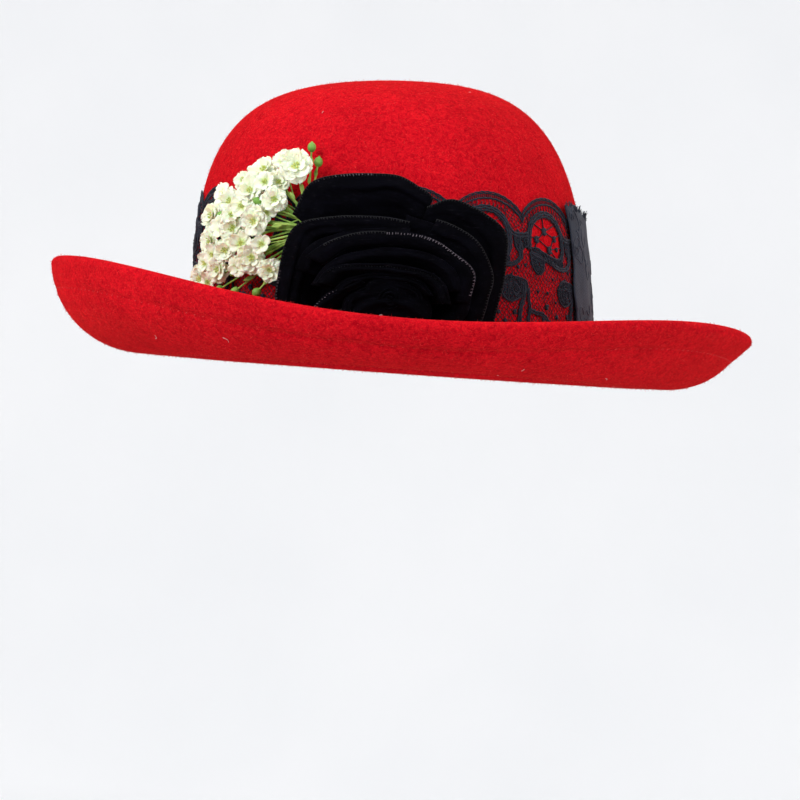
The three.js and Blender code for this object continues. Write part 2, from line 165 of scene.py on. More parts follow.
def uneven(points):
    """The hand-blocked felt's slight unevenness, which everything lying on the felt shares."""
    direction = unit(points - np.array([0, 0, 40.0]))
    return points + (0.28 * ripple(points, 38, 3))[..., None] * direction


# ---- Mesh building ----

def rounded(across, power):
    """1 over most of a piece, falling to 0 where across reaches -1 and 1."""
    return np.sqrt(np.clip(1 - np.abs(across) ** power, 0, 1))


def add_piece(name, points, faces, material, replaced=(), uv=None):
    """A mesh from points in millimetres, riding on the hat."""
    mesh = bpy.data.meshes.new(name)
    mesh.from_pydata((np.asarray(points, float) * MM).tolist(), [], faces)
    mesh.polygons.foreach_set("use_smooth", [True] * len(mesh.polygons))
    if uv is not None:
        layer = mesh.uv_layers.new(name="cloth")
        corner = np.empty(len(mesh.loops), int)
        mesh.loops.foreach_get("vertex_index", corner)
        layer.data.foreach_set("uv", np.asarray(uv, float)[corner].ravel())
    mesh.validate()
    mesh.update()
    piece = bpy.data.objects.new(name, mesh)
    bpy.context.scene.collection.objects.link(piece)
    piece.data.materials.append(material)
    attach(piece, "root")
    if replaced:
        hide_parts(*replaced)
    return piece


class Parts:
    """Gathers many small closed bodies into one mesh."""

    def __init__(self):
        self.points, self.faces, self.count = [], [], 0

    def add(self, points, faces):
        points = np.asarray(points, float).reshape(-1, 3)
        self.points.append(points)
        self.faces.extend([tuple(i + self.count for i in face) for face in faces])
        self.count += len(points)

    def add_all(self, bodies, faces):
        """bodies is (n, points, 3); each body has the same faces."""
        n, per = bodies.shape[:2]
        starts = self.count + np.arange(n) * per
        self.points.append(bodies.reshape(-1, 3))
        for face in faces:
            self.faces.extend(map(tuple, (starts[:, None] + np.array(face)).tolist()))
        self.count += n * per

    def piece(self, name, material, slot, replaced=(), uv=None):
        return add_piece(name, np.concatenate(self.points), self.faces, material, replaced, uv)


def ring_faces(rows, columns):
    """Quads of a grid whose columns close on themselves, with both ends capped."""
    faces = []
    for i in range(rows - 1):
        for j in range(columns):
            k = (j + 1) % columns
            faces.append((i * columns + j, i * columns + k, (i + 1) * columns + k, (i + 1) * columns + j))
    faces.append(tuple(reversed(range(columns))))
    faces.append(tuple((rows - 1) * columns + j for j in range(columns)))
    return faces


def shell_body(outer, inner):
    """A closed thin body between two grids of the same size (rows, columns, 3)."""
    rows, columns = outer.shape[:2]
    base = rows * columns
    faces = []
    for i in range(rows - 1):
        for j in range(columns - 1):
            a, b = i * columns + j, i * columns + j + 1
            c, d = b + columns, a + columns
            faces.append((a, b, c, d))
            faces.append((base + d, base + c, base + b, base + a))
    edge = list(range(columns))
    edge += [i * columns + columns - 1 for i in range(1, rows)]
    edge += [(rows - 1) * columns + j for j in range(columns - 2, -1, -1)]
    edge += [i * columns for i in range(rows - 2, 0, -1)]
    for a, b in zip(edge, edge[1:] + edge[:1]):
        faces.append((b, a, base + a, base + b))
    return np.concatenate([outer.reshape(-1, 3), inner.reshape(-1, 3)]), faces


def strand(path, normals, wide, thick, sides=6):
    """A closed tube along path: half-width wide across the surface, half-thickness thick off it."""
    path, normals = np.asarray(path, float), np.asarray(normals, float)
    tangent = unit(np.gradient(path, axis=0))
    side = unit(np.cross(tangent, normals))
    lift = np.cross(side, tangent)
    wide = np.broadcast_to(wide, len(path))[:, None, None]
    thick = np.broadcast_to(thick, len(path))[:, None, None]
    turn = (np.arange(sides) + 0.5) / sides * TAU
    ring = np.cos(turn)[None, :, None] * wide * side[:, None]
    ring = ring + np.sin(turn)[None, :, None] * thick * lift[:, None]
    return (path[:, None] + ring).reshape(-1, 3), ring_faces(len(path), sides)


def prisms(starts, ends, normals, wide, thick):
    """Straight closed threads, all with the same faces: (n, 8, 3) points and the faces of one."""
    tangent = unit(ends - starts)
    side = unit(np.cross(tangent, normals)) * wide
    lift = unit(normals) * thick
    corners = []
    for middle in (starts, ends):
        corners += [middle - side, middle - lift, middle + side, middle + lift]
    return np.stack(corners, 1), ring_faces(2, 4)


# ---- Materials ----

class Surface:
    """A node material: procedural inputs linked to one Principled shader."""

    def __init__(self, name, **constants):
        self.material = bpy.data.materials.new(name)
        self.material.use_nodes = True
        self.tree = self.material.node_tree
        self.shader = self.tree.nodes["Principled BSDF"]
        for socket, value in constants.items():
            self.shader.inputs[socket.replace("_", " ")].default_value = value
        self.place = self.node("ShaderNodeTexCoord").outputs["Object"]

    def node(self, kind, **settings):
        made = self.tree.nodes.new(kind)
        for key, value in settings.items():
            setattr(made, key, value)
        return made

    def link(self, source, target):
        self.tree.links.new(source, target)

    def part(self, vector, axis):
        split = self.node("ShaderNodeSeparateXYZ")
        self.link(vector, split.inputs["Vector"])
        return split.outputs[axis]

    def stretch(self, scale, turn=(0, 0, 0), coords=None):
        mapping = self.node("ShaderNodeMapping")
        mapping.inputs["Scale"].default_value = scale
        mapping.inputs["Rotation"].default_value = turn
        self.link(coords or self.place, mapping.inputs["Vector"])
        return mapping.outputs["Vector"]

    def noise(self, size_mm, detail=3.0, roughness=0.55, distortion=0.0, coords=None):
        made = self.node("ShaderNodeTexNoise")
        self.link(coords or self.place, made.inputs["Vector"])
        made.inputs["Scale"].default_value = 1 / (size_mm * MM)
        made.inputs["Detail"].default_value = detail
        made.inputs["Roughness"].default_value = roughness
        made.inputs["Distortion"].default_value = distortion
        return made.outputs["Fac"]

    def wave(self, pitch_mm, axis, coords, distortion=0.0):
        made = self.node("ShaderNodeTexWave", bands_direction=axis)
        self.link(coords, made.inputs["Vector"])
        made.inputs["Scale"].default_value = TAU / (20 * pitch_mm * MM)
        made.inputs["Distortion"].default_value = distortion
        return made.outputs["Fac"]

    def ramp(self, factor, stops):
        made = self.node("ShaderNodeValToRGB")
        self.link(factor, made.inputs["Fac"])
        elements = made.color_ramp.elements
        while len(elements) < len(stops):
            elements.new(0.5)
        for element, (place, value) in zip(elements, stops):
            element.position = place
            element.color = (value, value, value, 1) if isinstance(value, float) else (*value, 1)
        return made.outputs["Color"]

    def fade(self, factor, low, high, most=1.0):
        """0 below low, most above high."""
        return self.ramp(factor, [(low, 0.0), (high, most)])

    def mix(self, factor, first, second, blend="MIX"):
        made = self.node("ShaderNodeMix", data_type="RGBA", blend_type=blend)
        if isinstance(factor, float):
            made.inputs["Factor"].default_value = factor
        else:
            self.link(factor, made.inputs["Factor"])
        for value, socket in ((first, made.inputs[6]), (second, made.inputs[7])):
            if isinstance(value, tuple):
                socket.default_value = (*value, 1)
            else:
                self.link(value, socket)
        return made.outputs[2]

    def bump(self, height, depth_mm, strength=1.0, under=None):
        made = self.node("ShaderNodeBump")
        made.inputs["Strength"].default_value = strength
        made.inputs["Distance"].default_value = depth_mm * MM
        self.link(height, made.inputs["Height"])
        if under is not None:
            self.link(under, made.inputs["Normal"])
        return made.outputs["Normal"]

    def finish(self, color, roughness, normal):
        self.link(color, self.shader.inputs["Base Color"])
        self.link(roughness, self.shader.inputs["Roughness"])
        self.link(normal, self.shader.inputs["Normal"])
        return self.material


def felt_material(name, deep, bright):
    made = Surface(name, Sheen_Weight=0.28, Sheen_Roughness=0.22, Sheen_Tint=(1.0, 0.09, 0.04, 1),
                   Specular_IOR_Level=0.0)
    tone = made.noise(30, detail=2)
    mottle = made.noise(2.4, detail=5, roughness=0.72, distortion=1.6)
    fibre = made.noise(0.8, detail=4, roughness=0.75, distortion=3.0)
    matted = made.noise(1.5, detail=3, distortion=4.0, coords=made.stretch((1, 0.45, 1.4), (0.3, 0.5, 0.9)))
    color = made.mix(made.fade(mottle, 0.38, 0.60), deep, bright)
    color = made.mix(made.ramp(fibre, [(0.36, 0.6), (0.52, 0.0)]), color, (0.24, 0.0004, 0.006))
    color = made.mix(made.fade(matted, 0.54, 0.66, 0.55), color, (0.86, 0.028, 0.028))
    worn = made.ramp(tone, [(0.35, 0.88), (0.65, 1.0)])
    color = made.mix(1.0, color, worn, "MULTIPLY")
    rough = made.ramp(fibre, [(0.2, 0.86), (0.8, 1.0)])
    normal = made.bump(mottle, 0.7, 0.7)
    normal = made.bump(matted, 0.35, 0.6, normal)
    normal = made.bump(fibre, 0.3, 0.8, normal)
    return made.finish(color, rough, normal)


def lace_material(name, dark, pale):
    made = Surface(name, Sheen_Weight=0.06, Sheen_Roughness=0.5, Specular_IOR_Level=0.12)
    yarn = made.noise(0.5, detail=3)
    tone = made.noise(9, detail=2)
    color = made.mix(made.fade(yarn, 0.3, 0.7), dark, pale)
    color = made.mix(1.0, color, made.ramp(tone, [(0.3, 0.65), (0.7, 1.0)]), "MULTIPLY")
    return made.finish(color, made.ramp(yarn, [(0.2, 0.6), (0.8, 0.85)]), made.bump(yarn, 0.12, 0.8))


RED_FELT = felt_material("red_felt", (0.46, 0.002, 0.010), (0.80, 0.009, 0.018))


# ---- Felt hood ----

AROUND = 360
HEM_SLOT = FELT + GAP
HEM_TOP = HEM_SLOT + HEM_FELT
FOLD_RADIUS = HEM_TOP / 2
STITCH_BACK = 10.4


def crown_heights(steps):
    """Heights from the crown's foot to its tip, closer together where the wall turns over."""
    return INNER_HEIGHT * np.sin(np.arange(1, steps + 1) / steps * TAU / 4) ** (2 / SQUARENESS)


def hem_valley(angle):
    """How deep the stitching pulls the felt in along the hem."""
    return 0.25 + 0.75 * np.sin(angle) ** 2


def hood_profile(angle):
    """Rows of points round the felt's section at every azimuth, from the inner tip to the outer tip."""
    length = brim_shape(angle)[3]
    heights = crown_heights(44)
    rows = [crown_point(angle, z, 0.0) for z in heights[::-1]]
    rows += [break_point(angle, turn, 0.0) for turn in np.linspace(0, TAU / 4, 6)]
    for t in np.linspace(0, 1, 60)[1:]:
        along = t * length
        back = length - along
        lip = 0.3 * np.sin(angle) ** 2 * np.sin(math.pi * np.clip(back / STITCH_BACK, 0, 1))
        groove = hem_valley(angle) * np.exp(-((back - STITCH_BACK) / 1.5) ** 2) - lip
        rows.append(brim_point(angle, along, groove))
    for i in range(1, 12):
        turn = i / 12 * math.pi
        roll = FOLD_RADIUS * (1 + 0.05 * math.sin(turn))
        rows.append(brim_point(angle, length + roll * np.sin(turn), FOLD_RADIUS * (1 - np.cos(turn))))
    hem = [(back, HEM_TOP) for back in np.linspace(0, 0.93, 10)]
    hem += [(back, HEM_SLOT + up * HEM_FELT) for back, up in ((0.985, 0.85), (1.0, 0.5), (0.985, 0.15))]
    hem += [(back, HEM_SLOT) for back in (0.93, 0.6, 0.3, 0.12)]
    hem += [(back, FELT) for back in (0.12, 0.3, 0.6, 0.95)]
    rows += [brim_point(angle, length - back * HEM_DEPTH, up) for back, up in hem]
    rows += [brim_point(angle, t * (length - 1.1 * HEM_DEPTH), FELT) for t in np.linspace(1, 0, 44)]
    rows += [break_point(angle, turn, FELT) for turn in np.linspace(TAU / 4, 0, 6)[1:]]
    rows += [crown_point(angle, z, FELT) for z in heights]
    return np.stack(rows)


def hood_skin(rows):
    """Faces between the rows. The tip of each side of the felt is one point: its ring is welded."""
    outer_tip = (len(rows) - 1) * AROUND
    faces = []
    for i in range(len(rows) - 1):
        for j in range(AROUND):
            k = (j + 1) % AROUND
            ring = (i * AROUND + j, i * AROUND + k, (i + 1) * AROUND + k, (i + 1) * AROUND + j)
            welded = [0 if p < AROUND else min(p, outer_tip) for p in ring]
            faces.append(tuple(dict.fromkeys(welded)))
    return [face for face in faces if len(face) > 2]


hood_rows = uneven(hood_profile(np.arange(AROUND) / AROUND * TAU))
hood = add_piece("felt_hood_cloth", hood_rows.reshape(-1, 3), hood_skin(hood_rows), RED_FELT,
                 ["felt_hood"])


# ---- Nap, stitches and lint on the felt ----

def build_nap(rows, count, seed):
    """Loose wool fibres: thin bent closed spindles standing out of the felt's surface."""
    rng = np.random.default_rng(seed)
    i = rng.integers(2, len(rows) - 2, 4 * count)
    j = rng.integers(0, AROUND, 4 * count)
    a, b, c = rows[i, j], rows[i, (j + 1) % AROUND], rows[i + 1, j]
    normal = np.cross(b - a, c - a)
    area = np.linalg.norm(normal, axis=1)
    # Larger faces are likelier to be kept, so the fibres stand evenly over the felt.
    keep = np.argsort(rng.random(len(area)) ** (1 / np.maximum(area, 1e-6)))[-count:]
    s, t = rng.random((2, count, 1))
    base = a[keep] + s * (b - a)[keep] + t * (c - a)[keep]
    normal = unit(normal[keep])
    sideways = unit(np.cross(normal, rng.normal(size=(count, 3))))
    length = rng.uniform(0.5, 1.7, (count, 1)) * np.where(rng.random((count, 1)) < 0.04, 1.7, 1.0)
    lean = rng.uniform(0.45, 1.12, (count, 1))
    middle = base + length * 0.55 * (normal * (1 - 0.5 * lean) + sideways * lean * 0.8)
    end = base + length * (normal * (1 - 0.8 * lean) + sideways * lean)
    spread = np.cross(normal, sideways)
    thick = rng.uniform(0.035, 0.075, (count, 1))
    rings = []
    for place, size in ((base - 0.1 * normal, 1.0), (middle, 0.8), (end, 0.15)):
        for turn in (0, TAU / 3, 2 * TAU / 3):
            rings.append(place + thick * size * (math.cos(turn) * sideways + math.sin(turn) * spread))
    return np.stack(rings, 1)


def fibre_material(name, color, pale):
    made = Surface(name, Sheen_Weight=0.2, Sheen_Tint=(1.0, 0.3, 0.3, 1), Specular_IOR_Level=0.1)
    fibre = made.noise(3.0, detail=2)
    tone = made.mix(made.fade(fibre, 0.35, 0.7), color, pale)
    return made.finish(tone, made.ramp(fibre, [(0.0, 0.8), (1.0, 1.0)]), made.bump(fibre, 0.05, 0.3))


WOOL_FIBRE = fibre_material("wool_fibre", (0.58, 0.003, 0.008), (0.95, 0.06, 0.045))
NAP_FIBRES = 14000
for seed, layer in enumerate(("first", "second", "third"), 21):
    nap = Parts()
    nap.add_all(build_nap(hood_rows, NAP_FIBRES, seed), ring_faces(3, 3))
    nap.piece(f"felt_nap_{layer}", WOOL_FIBRE, "wool_felt")


def build_hem_stitches():
    """Short slanted stitches that show where the turned-in hem is sewn down."""
    stitches = Parts()
    angle = np.linspace(0, TAU, 236, endpoint=False)
    length = brim_shape(angle)[3]
    below, above = hem_valley(angle) - 0.04, HEM_TOP + 0.05
    for back, level in ((STITCH_BACK, below), (HEM_DEPTH - 1.5, above)):
        start = uneven(brim_point(angle, length - back - 0.25, level))
        end = uneven(brim_point(angle + 0.0075, length - back + 0.25, level))
        seat = brim_point(angle, length - back, level)
        normal = unit(brim_point(angle, length - back, level + 1) - seat)
        stitches.add_all(*prisms(start, end, normal, 0.11, 0.11))
    return stitches


build_hem_stitches().piece(
    "hem_stitches", fibre_material("hem_thread", (0.50, 0.008, 0.014), (0.78, 0.10, 0.09)), "wool_felt")


def build_lint(rows):
    """A few pale curled lint fibres caught on the felt."""
    lint = Parts()
    rng = np.random.default_rng(5)
    for _ in range(34):
        i, j = rng.integers(8, len(rows) - 8), rng.integers(0, AROUND)
        normal = unit(np.cross(rows[i, (j + 1) % AROUND] - rows[i, j], rows[i + 1, j] - rows[i, j]))
        drift = unit(np.cross(normal, rng.normal(size=3)))
        other = np.cross(normal, drift)
        t = np.linspace(0, 1, 6)[:, None]
        size, bend = rng.uniform(1.0, 3.4), rng.uniform(-1.5, 1.5)
        arch = t * (1 - t)
        path = rows[i, j] + normal * (0.12 + 0.5 * arch) + drift * t * size + other * bend * arch * size
        lint.add(*strand(path, np.tile(normal, (6, 1)), 0.07, 0.06, 4))
    return lint


build_lint(hood_rows).piece(
    "felt_lint", fibre_material("lint_fibre", (0.75, 0.50, 0.48), (0.90, 0.84, 0.80)), "wool_felt")


# ---- Sweatband and its bow ----

BAND_FACE = -GAP - SWEATBAND_THICKNESS


def ribbon_material(name, dark, pale, pitch_mm, coords="UV"):
    """Ribbed petersham: fine cross ribs over a close weave."""
    made = Surface(name, Sheen_Weight=0.2, Sheen_Roughness=0.4, Specular_IOR_Level=0.3)
    cloth = made.node("ShaderNodeTexCoord").outputs[coords]
    ribs = made.wave(pitch_mm, "X", cloth)
    weave = made.noise(0.35, detail=2)
    wear = made.noise(14, detail=3)
    color = made.mix(made.fade(ribs, 0.1, 0.8), dark, pale)
    color = made.mix(1.0, color, made.ramp(wear, [(0.3, 0.7), (0.7, 1.0)]), "MULTIPLY")
    normal = made.bump(ribs, 0.22, 0.8)
    normal = made.bump(weave, 0.08, 0.5, normal)
    return made.finish(color, made.ramp(weave, [(0.2, 0.5), (0.8, 0.78)]), normal)


RIBBON = ribbon_material("petersham", (0.006, 0.006, 0.008), (0.022, 0.022, 0.027), 1.15)


def build_sweatband():
    """The band all round, its edges rounded, with uv in metres along and up the ribbon."""
    steps = 420
    angle = np.arange(steps) / steps * TAU
    half = SWEATBAND_THICKNESS / 2
    middle = BAND_FACE + half
    heights = np.linspace(SWEATBAND_LOW + 0.4, SWEATBAND_HIGH - 0.4, 10)
    section = [(z, -half) for z in heights] + [(SWEATBAND_HIGH, 0)]
    section += [(z, half) for z in heights[::-1]] + [(SWEATBAND_LOW, 0)]
    rows = []
    for z, lift in section:
        sway = 0.12 * np.sin(9 * angle + z / 6) * (1 if lift < 0 else 0.4)
        rows.append(uneven(crown_point(angle, z, middle + lift - np.abs(sway))))
    points = np.stack(rows, 1).reshape(-1, 3)
    across = len(section)
    faces = []
    for i in range(steps):
        for j in range(across):
            a, b = i * across + j, i * across + (j + 1) % across
            c, d = ((i + 1) % steps) * across + (j + 1) % across, ((i + 1) % steps) * across + j
            faces.append((d, c, b, a))
    uv = [(i / steps * 0.572, z * MM) for i in range(steps) for z, _ in section]
    return points, faces, uv


band_points, band_faces, band_uv = build_sweatband()
sweatband = add_piece("sweatband_ribbon", band_points, band_faces, RIBBON, ["sweatband"],
                      band_uv)


def build_band_stitches():
    """The row of stitches along the sweatband's lower edge."""
    stitches = Parts()
    angle = np.linspace(0, TAU, 170, endpoint=False)
    z = SWEATBAND_LOW + 1.5
    start = uneven(crown_point(angle, z, BAND_FACE - 0.12))
    end = uneven(crown_point(angle + 0.022, z, BAND_FACE - 0.12))
    normal = unit(crown_point(angle, z, -4.0) - crown_point(angle, z, -2.0))
    stitches.add_all(*prisms(start, end, normal, 0.17, 0.17))
    return stitches


BLACK_THREAD = lace_material("black_thread", (0.012, 0.012, 0.014), (0.05, 0.05, 0.055))
build_band_stitches().piece("sweatband_stitches", BLACK_THREAD, "grosgrain")


def build_bow():
    """A flat bow: two folded loops and a wrap over the band's join at the centre back."""
    bow = Parts()
    z_middle = (SWEATBAND_LOW + SWEATBAND_HIGH) / 2
    a, b = np.meshgrid(np.linspace(0, 1, 20), np.linspace(-1, 1, 11), indexing="ij")
    for side in (-1, 1):
        for layer in (0, 1):
            reach = side * (0.008 + (0.118 - 0.012 * layer) * a)
            half_height = 2.0 + 2.4 * a ** 0.8
            puff = 0.7 * np.sin(a * math.pi) ** 0.8 * (1 - 0.35 * b ** 2)
            off = BAND_FACE - GAP - 0.45 - (0.15 + puff) * (1 - layer)
            off = off - 0.12 * np.cos(b * 7) * (1 - a)
            z = z_middle + b * half_height
            outer = crown_point(TAU / 4 + reach, z, off - 0.22)
            inner = crown_point(TAU / 4 + reach, z, off + 0.18)
            if side > 0:
                outer, inner = inner, outer
            bow.add(*shell_body(inner, outer))
    t = np.linspace(0, 1, 16)
    for k in range(5):
        shift = (k - 2) * 0.0042
        z = z_middle + 3.0 * (2 * t - 1)
        off = BAND_FACE - GAP - 0.75 - 0.75 * np.sin(t * math.pi) ** 0.5
        path = crown_point(TAU / 4 + shift + 0 * t, z, off)
        normal = unit(crown_point(TAU / 4 + shift + 0 * t, z, off - 1) - path)
        bow.add(*strand(path, normal, 0.26, 0.3, 8))
    return bow


BOW_RIBBON = ribbon_material("bow_petersham", (0.006, 0.006, 0.008), (0.022, 0.022, 0.027), 1.15, "Object")
bow = build_bow().piece("sweatband_bow_loops", BOW_RIBBON, "grosgrain", ["sweatband_bow"])


# ---- Lace band: cords, filled leaves and a fine net, laid over the felt repeat by repeat ----

REPEAT = TAU / SCALLOPS
REPEAT_WIDTH = 36.6
NET_CELLS, NET_RISE = 16, 2.2
FILL_CELLS, FILL_RISE = 40, 0.92
# How far each layer of the lace lies off the felt's inner face.
NET_COVER, TIE_COVER, RUNG_COVER, FILL_COVER, EDGE_COVER, LOOP_COVER, CORD_COVER = (
    2.9, 3.0, 3.05, 3.1, 3.15, 3.2, 3.25)


def lace_point(u, z, cover):
    """u repeats along the band from a scallop's peak, at height z, cover off the felt's inner face."""
    return uneven(crown_point(SCALLOP_PEAK + np.asarray(u) * REPEAT, np.asarray(z, float), cover))


def lace_normal(u, z):
    angle, z = SCALLOP_PEAK + np.asarray(u) * REPEAT, np.asarray(z, float)
    return unit(crown_point(angle, z, 4.0) - crown_point(angle, z, 2.0))


def scallop(u):
    """The height of the band's upper edge."""
    return SCALLOP_VALLEY + SCALLOP_RISE * np.abs(np.cos(math.pi * np.asarray(u))) ** 0.6


def smooth_path(points, per=6):
    """A Catmull-Rom curve through flat points."""
    p = np.asarray(points, float)
    p = np.vstack([2 * p[0] - p[1], p, 2 * p[-1] - p[-2]])
    out = []
    for i in range(1, len(p) - 2):
        for t in np.arange(per) / per:
            a = 2 * p[i]
            b = (p[i + 1] - p[i - 1]) * t
            c = (2 * p[i - 1] - 5 * p[i] + 4 * p[i + 1] - p[i + 2]) * t ** 2
            d = (3 * p[i] - p[i - 1] - 3 * p[i + 1] + p[i + 2]) * t ** 3
            out.append((a + b + c + d) / 2)
    out.append(p[-2])
    return np.array(out)


def inside(points, polygon):
    """Which flat points lie inside a closed polygon."""
    x, y = points[:, 0], points[:, 1]
    result = np.zeros(len(points), bool)
    for (x1, y1), (x2, y2) in zip(polygon, np.roll(polygon, -1, axis=0)):
        crosses = (y1 > y) != (y2 > y)
        at = x1 + (y - y1) / (y2 - y1 if y2 != y1 else 1) * (x2 - x1)
        result ^= crosses & (x < at)
    return result


# One repeat's motifs as (u, z) points: cords, the outlines of filled leaves, spots and ties.
ARCH = [(-0.42, 50.6), (-0.41, 55), (-0.376, 59.4), (-0.287, 62.7), (-0.12, 64.9), (0.044, 64.6),
        (0.18, 62.1), (0.242, 58.9), (0.265, 55), (0.258, 51.1), (0.195, 47.4)]
ARCH_OPENING = [(-0.37, 51.6), (-0.375, 55), (-0.345, 58.8), (-0.265, 61.5), (-0.12, 63.3), (0.03, 63),
                (0.15, 61), (0.20, 58.5), (0.225, 55), (0.22, 51.8), (0.16, 49), (0.02, 48.6),
                (-0.12, 49.8), (-0.24, 51.4)]
CURL = [(0.43, 53), (0.43, 48.5), (0.36, 45.6), (0.237, 44.3), (0.092, 44.8), (-0.034, 46.8)]
THIN = [(0.40, 58), (0.425, 54), (0.41, 50), (0.40, 47)]
BRANCH = [(-0.80, 61), (-0.738, 58.4), (-0.67, 56.2), (-0.55, 55.9), (-0.42, 56.6)]
LEAF = [(-0.40, 51.4), (-0.28, 51.6), (-0.14, 50), (-0.02, 48.9), (0.10, 48.2), (0.22, 48.4), (0.24, 45.6),
        (0.10, 44.6), (-0.04, 45.9), (-0.15, 47.1), (-0.27, 48.2), (-0.38, 49.2)]
DOTTED = [(-0.41, 50), (-0.27, 49), (-0.17, 47), (-0.18, 43.6), (-0.27, 41.4), (-0.37, 43.8), (-0.40, 47)]
SIDE_LEAF = [(-0.66, 55.6), (-0.55, 55.2), (-0.44, 55.6), (-0.43, 52.4), (-0.52, 51.2), (-0.60, 49.6),
             (-0.65, 52)]
ROSETTE = [(-0.90, 36.3), (-0.80, 39.8), (-0.66, 39.6), (-0.51, 38.6), (-0.49, 35.2), (-0.62, 31.7),
           (-0.76, 30.0), (-0.87, 32)]
ROSETTE_COIL = [(-0.80, 33.6), (-0.77, 36.6), (-0.68, 37), (-0.62, 34.8), (-0.68, 32.8), (-0.74, 34.4)]
VINE = [(-0.53, 38), (-0.55, 32.4), (-0.60, 27.9), (-0.63, 22), (-0.58, 17), (-0.62, 12)]
VINE_TWO = [(-0.47, 36), (-0.475, 31.7), (-0.455, 27.8), (-0.485, 23.5), (-0.45, 18), (-0.48, 13)]
LOW_BAND = [(-0.46, 27.3), (-0.348, 26.3), (-0.22, 25.7), (-0.10, 22.6), (0.04, 18.5), (0.20, 17.2),
            (0.34, 18.6), (0.40, 16)]
LOW_LEAF = [(-0.36, 21), (-0.24, 20.5), (-0.12, 18), (-0.10, 15), (-0.22, 14), (-0.34, 15.6), (-0.40, 18.4)]
SPOTS = [(-0.107, 58.4, 1.9), (-0.27, 55.0, 1.8), (-0.03, 51.4, 2.0), (0.10, 56.0, 1.6), (0.13, 52.0, 1.2),
         (-0.139, 29, 1.4), (-0.208, 24, 1.2), (0.065, 25.5, 1.1), (0.305, 26, 1.2), (0.16, 22.4, 1.0),
         (-0.56, 47.2, 0.9), (-0.50, 44.6, 0.9), (-0.62, 43.6, 0.9), (0.0, 40.2, 0.7), (0.14, 36.6, 0.7),
         (0.27, 40.5, 0.7), (0.30, 33.0, 0.7), (-0.12, 34.6, 0.7), (0.04, 31.2, 0.7), (-0.30, 34.8, 0.7)]
FILLED_LEAVES = (LEAF, DOTTED, SIDE_LEAF, ROSETTE, LOW_LEAF)
# Each cord's path, its width and how many strands lie side by side in it.
CORDS = ((ARCH, 2.7, 3), (CURL, 1.9, 2), (THIN, 0.9, 1), (BRANCH, 2.1, 2), (ROSETTE_COIL, 0.8, 1),
         (VINE, 2.2, 3), (VINE_TWO, 1.5, 2), (LOW_BAND, 1.9, 2))
TIES = [((-0.107, 58.4), (-0.12, 64)), ((-0.107, 58.4), (-0.30, 61)), ((-0.107, 58.4), (0.14, 61.5)),
        ((-0.243, 55.2), (-0.40, 56)), ((-0.243, 55.2), (-0.107, 58.4)), ((0.084, 56.3), (0.24, 58)),
        ((0.084, 56.3), (-0.107, 58.4)), ((-0.016, 51.6), (0.10, 48.5)), ((-0.016, 51.6), (-0.243, 55.2)),
        ((-0.016, 51.6), (0.084, 56.3)), ((-0.016, 51.6), (0.24, 53)), ((-0.243, 55.2), (-0.32, 51.5))]


def add_cord(lace, path, width, cover, strands=1, sway=0.0):
    """One cord, or several side by side, along a flat path of (u, z)."""
    flat = np.asarray(path, float) * [REPEAT_WIDTH, 1]
    along = unit(np.gradient(flat, axis=0))
    across = np.stack([-along[:, 1], along[:, 0]], 1)
    half = width / 2 / strands
    for k in range(strands):
        offset = (k - (strands - 1) / 2) * 2 * half
        wobble = sway * np.sin(np.arange(len(flat)) * 1.7 + k * 2.1)
        line = flat + across * (offset + wobble)[:, None]
        u, z = line[:, 0] / REPEAT_WIDTH, line[:, 1]
        step = np.arange(len(u))
        slub = 1 + 0.22 * np.sin(step * 2.3 + k) * np.sin(step * 0.9 + 2 * k)
        slub[[0, -1]] = 0.5
        route = lace_point(u, z, cover + 0.12 * (k % 2))
        lace.add(*strand(route, lace_normal(u, z), half * 1.08 * slub, 0.3 * slub))


def net_segments(cells, rise, low, high):
    """A diamond net over one repeat: pairs of flat points in (u, z)."""
    segments = []
    columns, rows = 2 * cells, int((high - low) / rise * 2)
    for a in range(columns):
        for b in range(a % 2, rows, 2):
            x, y = a / columns - 0.5, low + b * rise / 2
            segments.append(((x, y), (x + 1 / columns, y + rise / 2)))
            segments.append(((x, y), (x + 1 / columns, y - rise / 2)))
    return np.array(segments)


def shifted(polygon, by):
    return np.asarray(polygon) + [by, 0]


def within_repeats(points, polygon):
    """Which points lie inside the polygon of this repeat or of a neighbouring one."""
    return np.logical_or.reduce([inside(points, shifted(polygon, by)) for by in (-1, 0, 1)])


def net_threads():
    """One repeat's open net, and the closer net that fills its leaves."""
    ground = net_segments(NET_CELLS, NET_RISE, LACE_LOW + 0.6, 68)
    middle = ground.mean(1)
    bare = within_repeats(middle, ARCH_OPENING) | (middle[:, 1] > scallop(middle[:, 0]) - 1.2)
    fill = net_segments(FILL_CELLS, FILL_RISE, LACE_LOW + 1, 66)
    filled = np.logical_or.reduce([within_repeats(fill.mean(1), leaf) for leaf in FILLED_LEAVES])
    return ground[~bare], fill[filled]


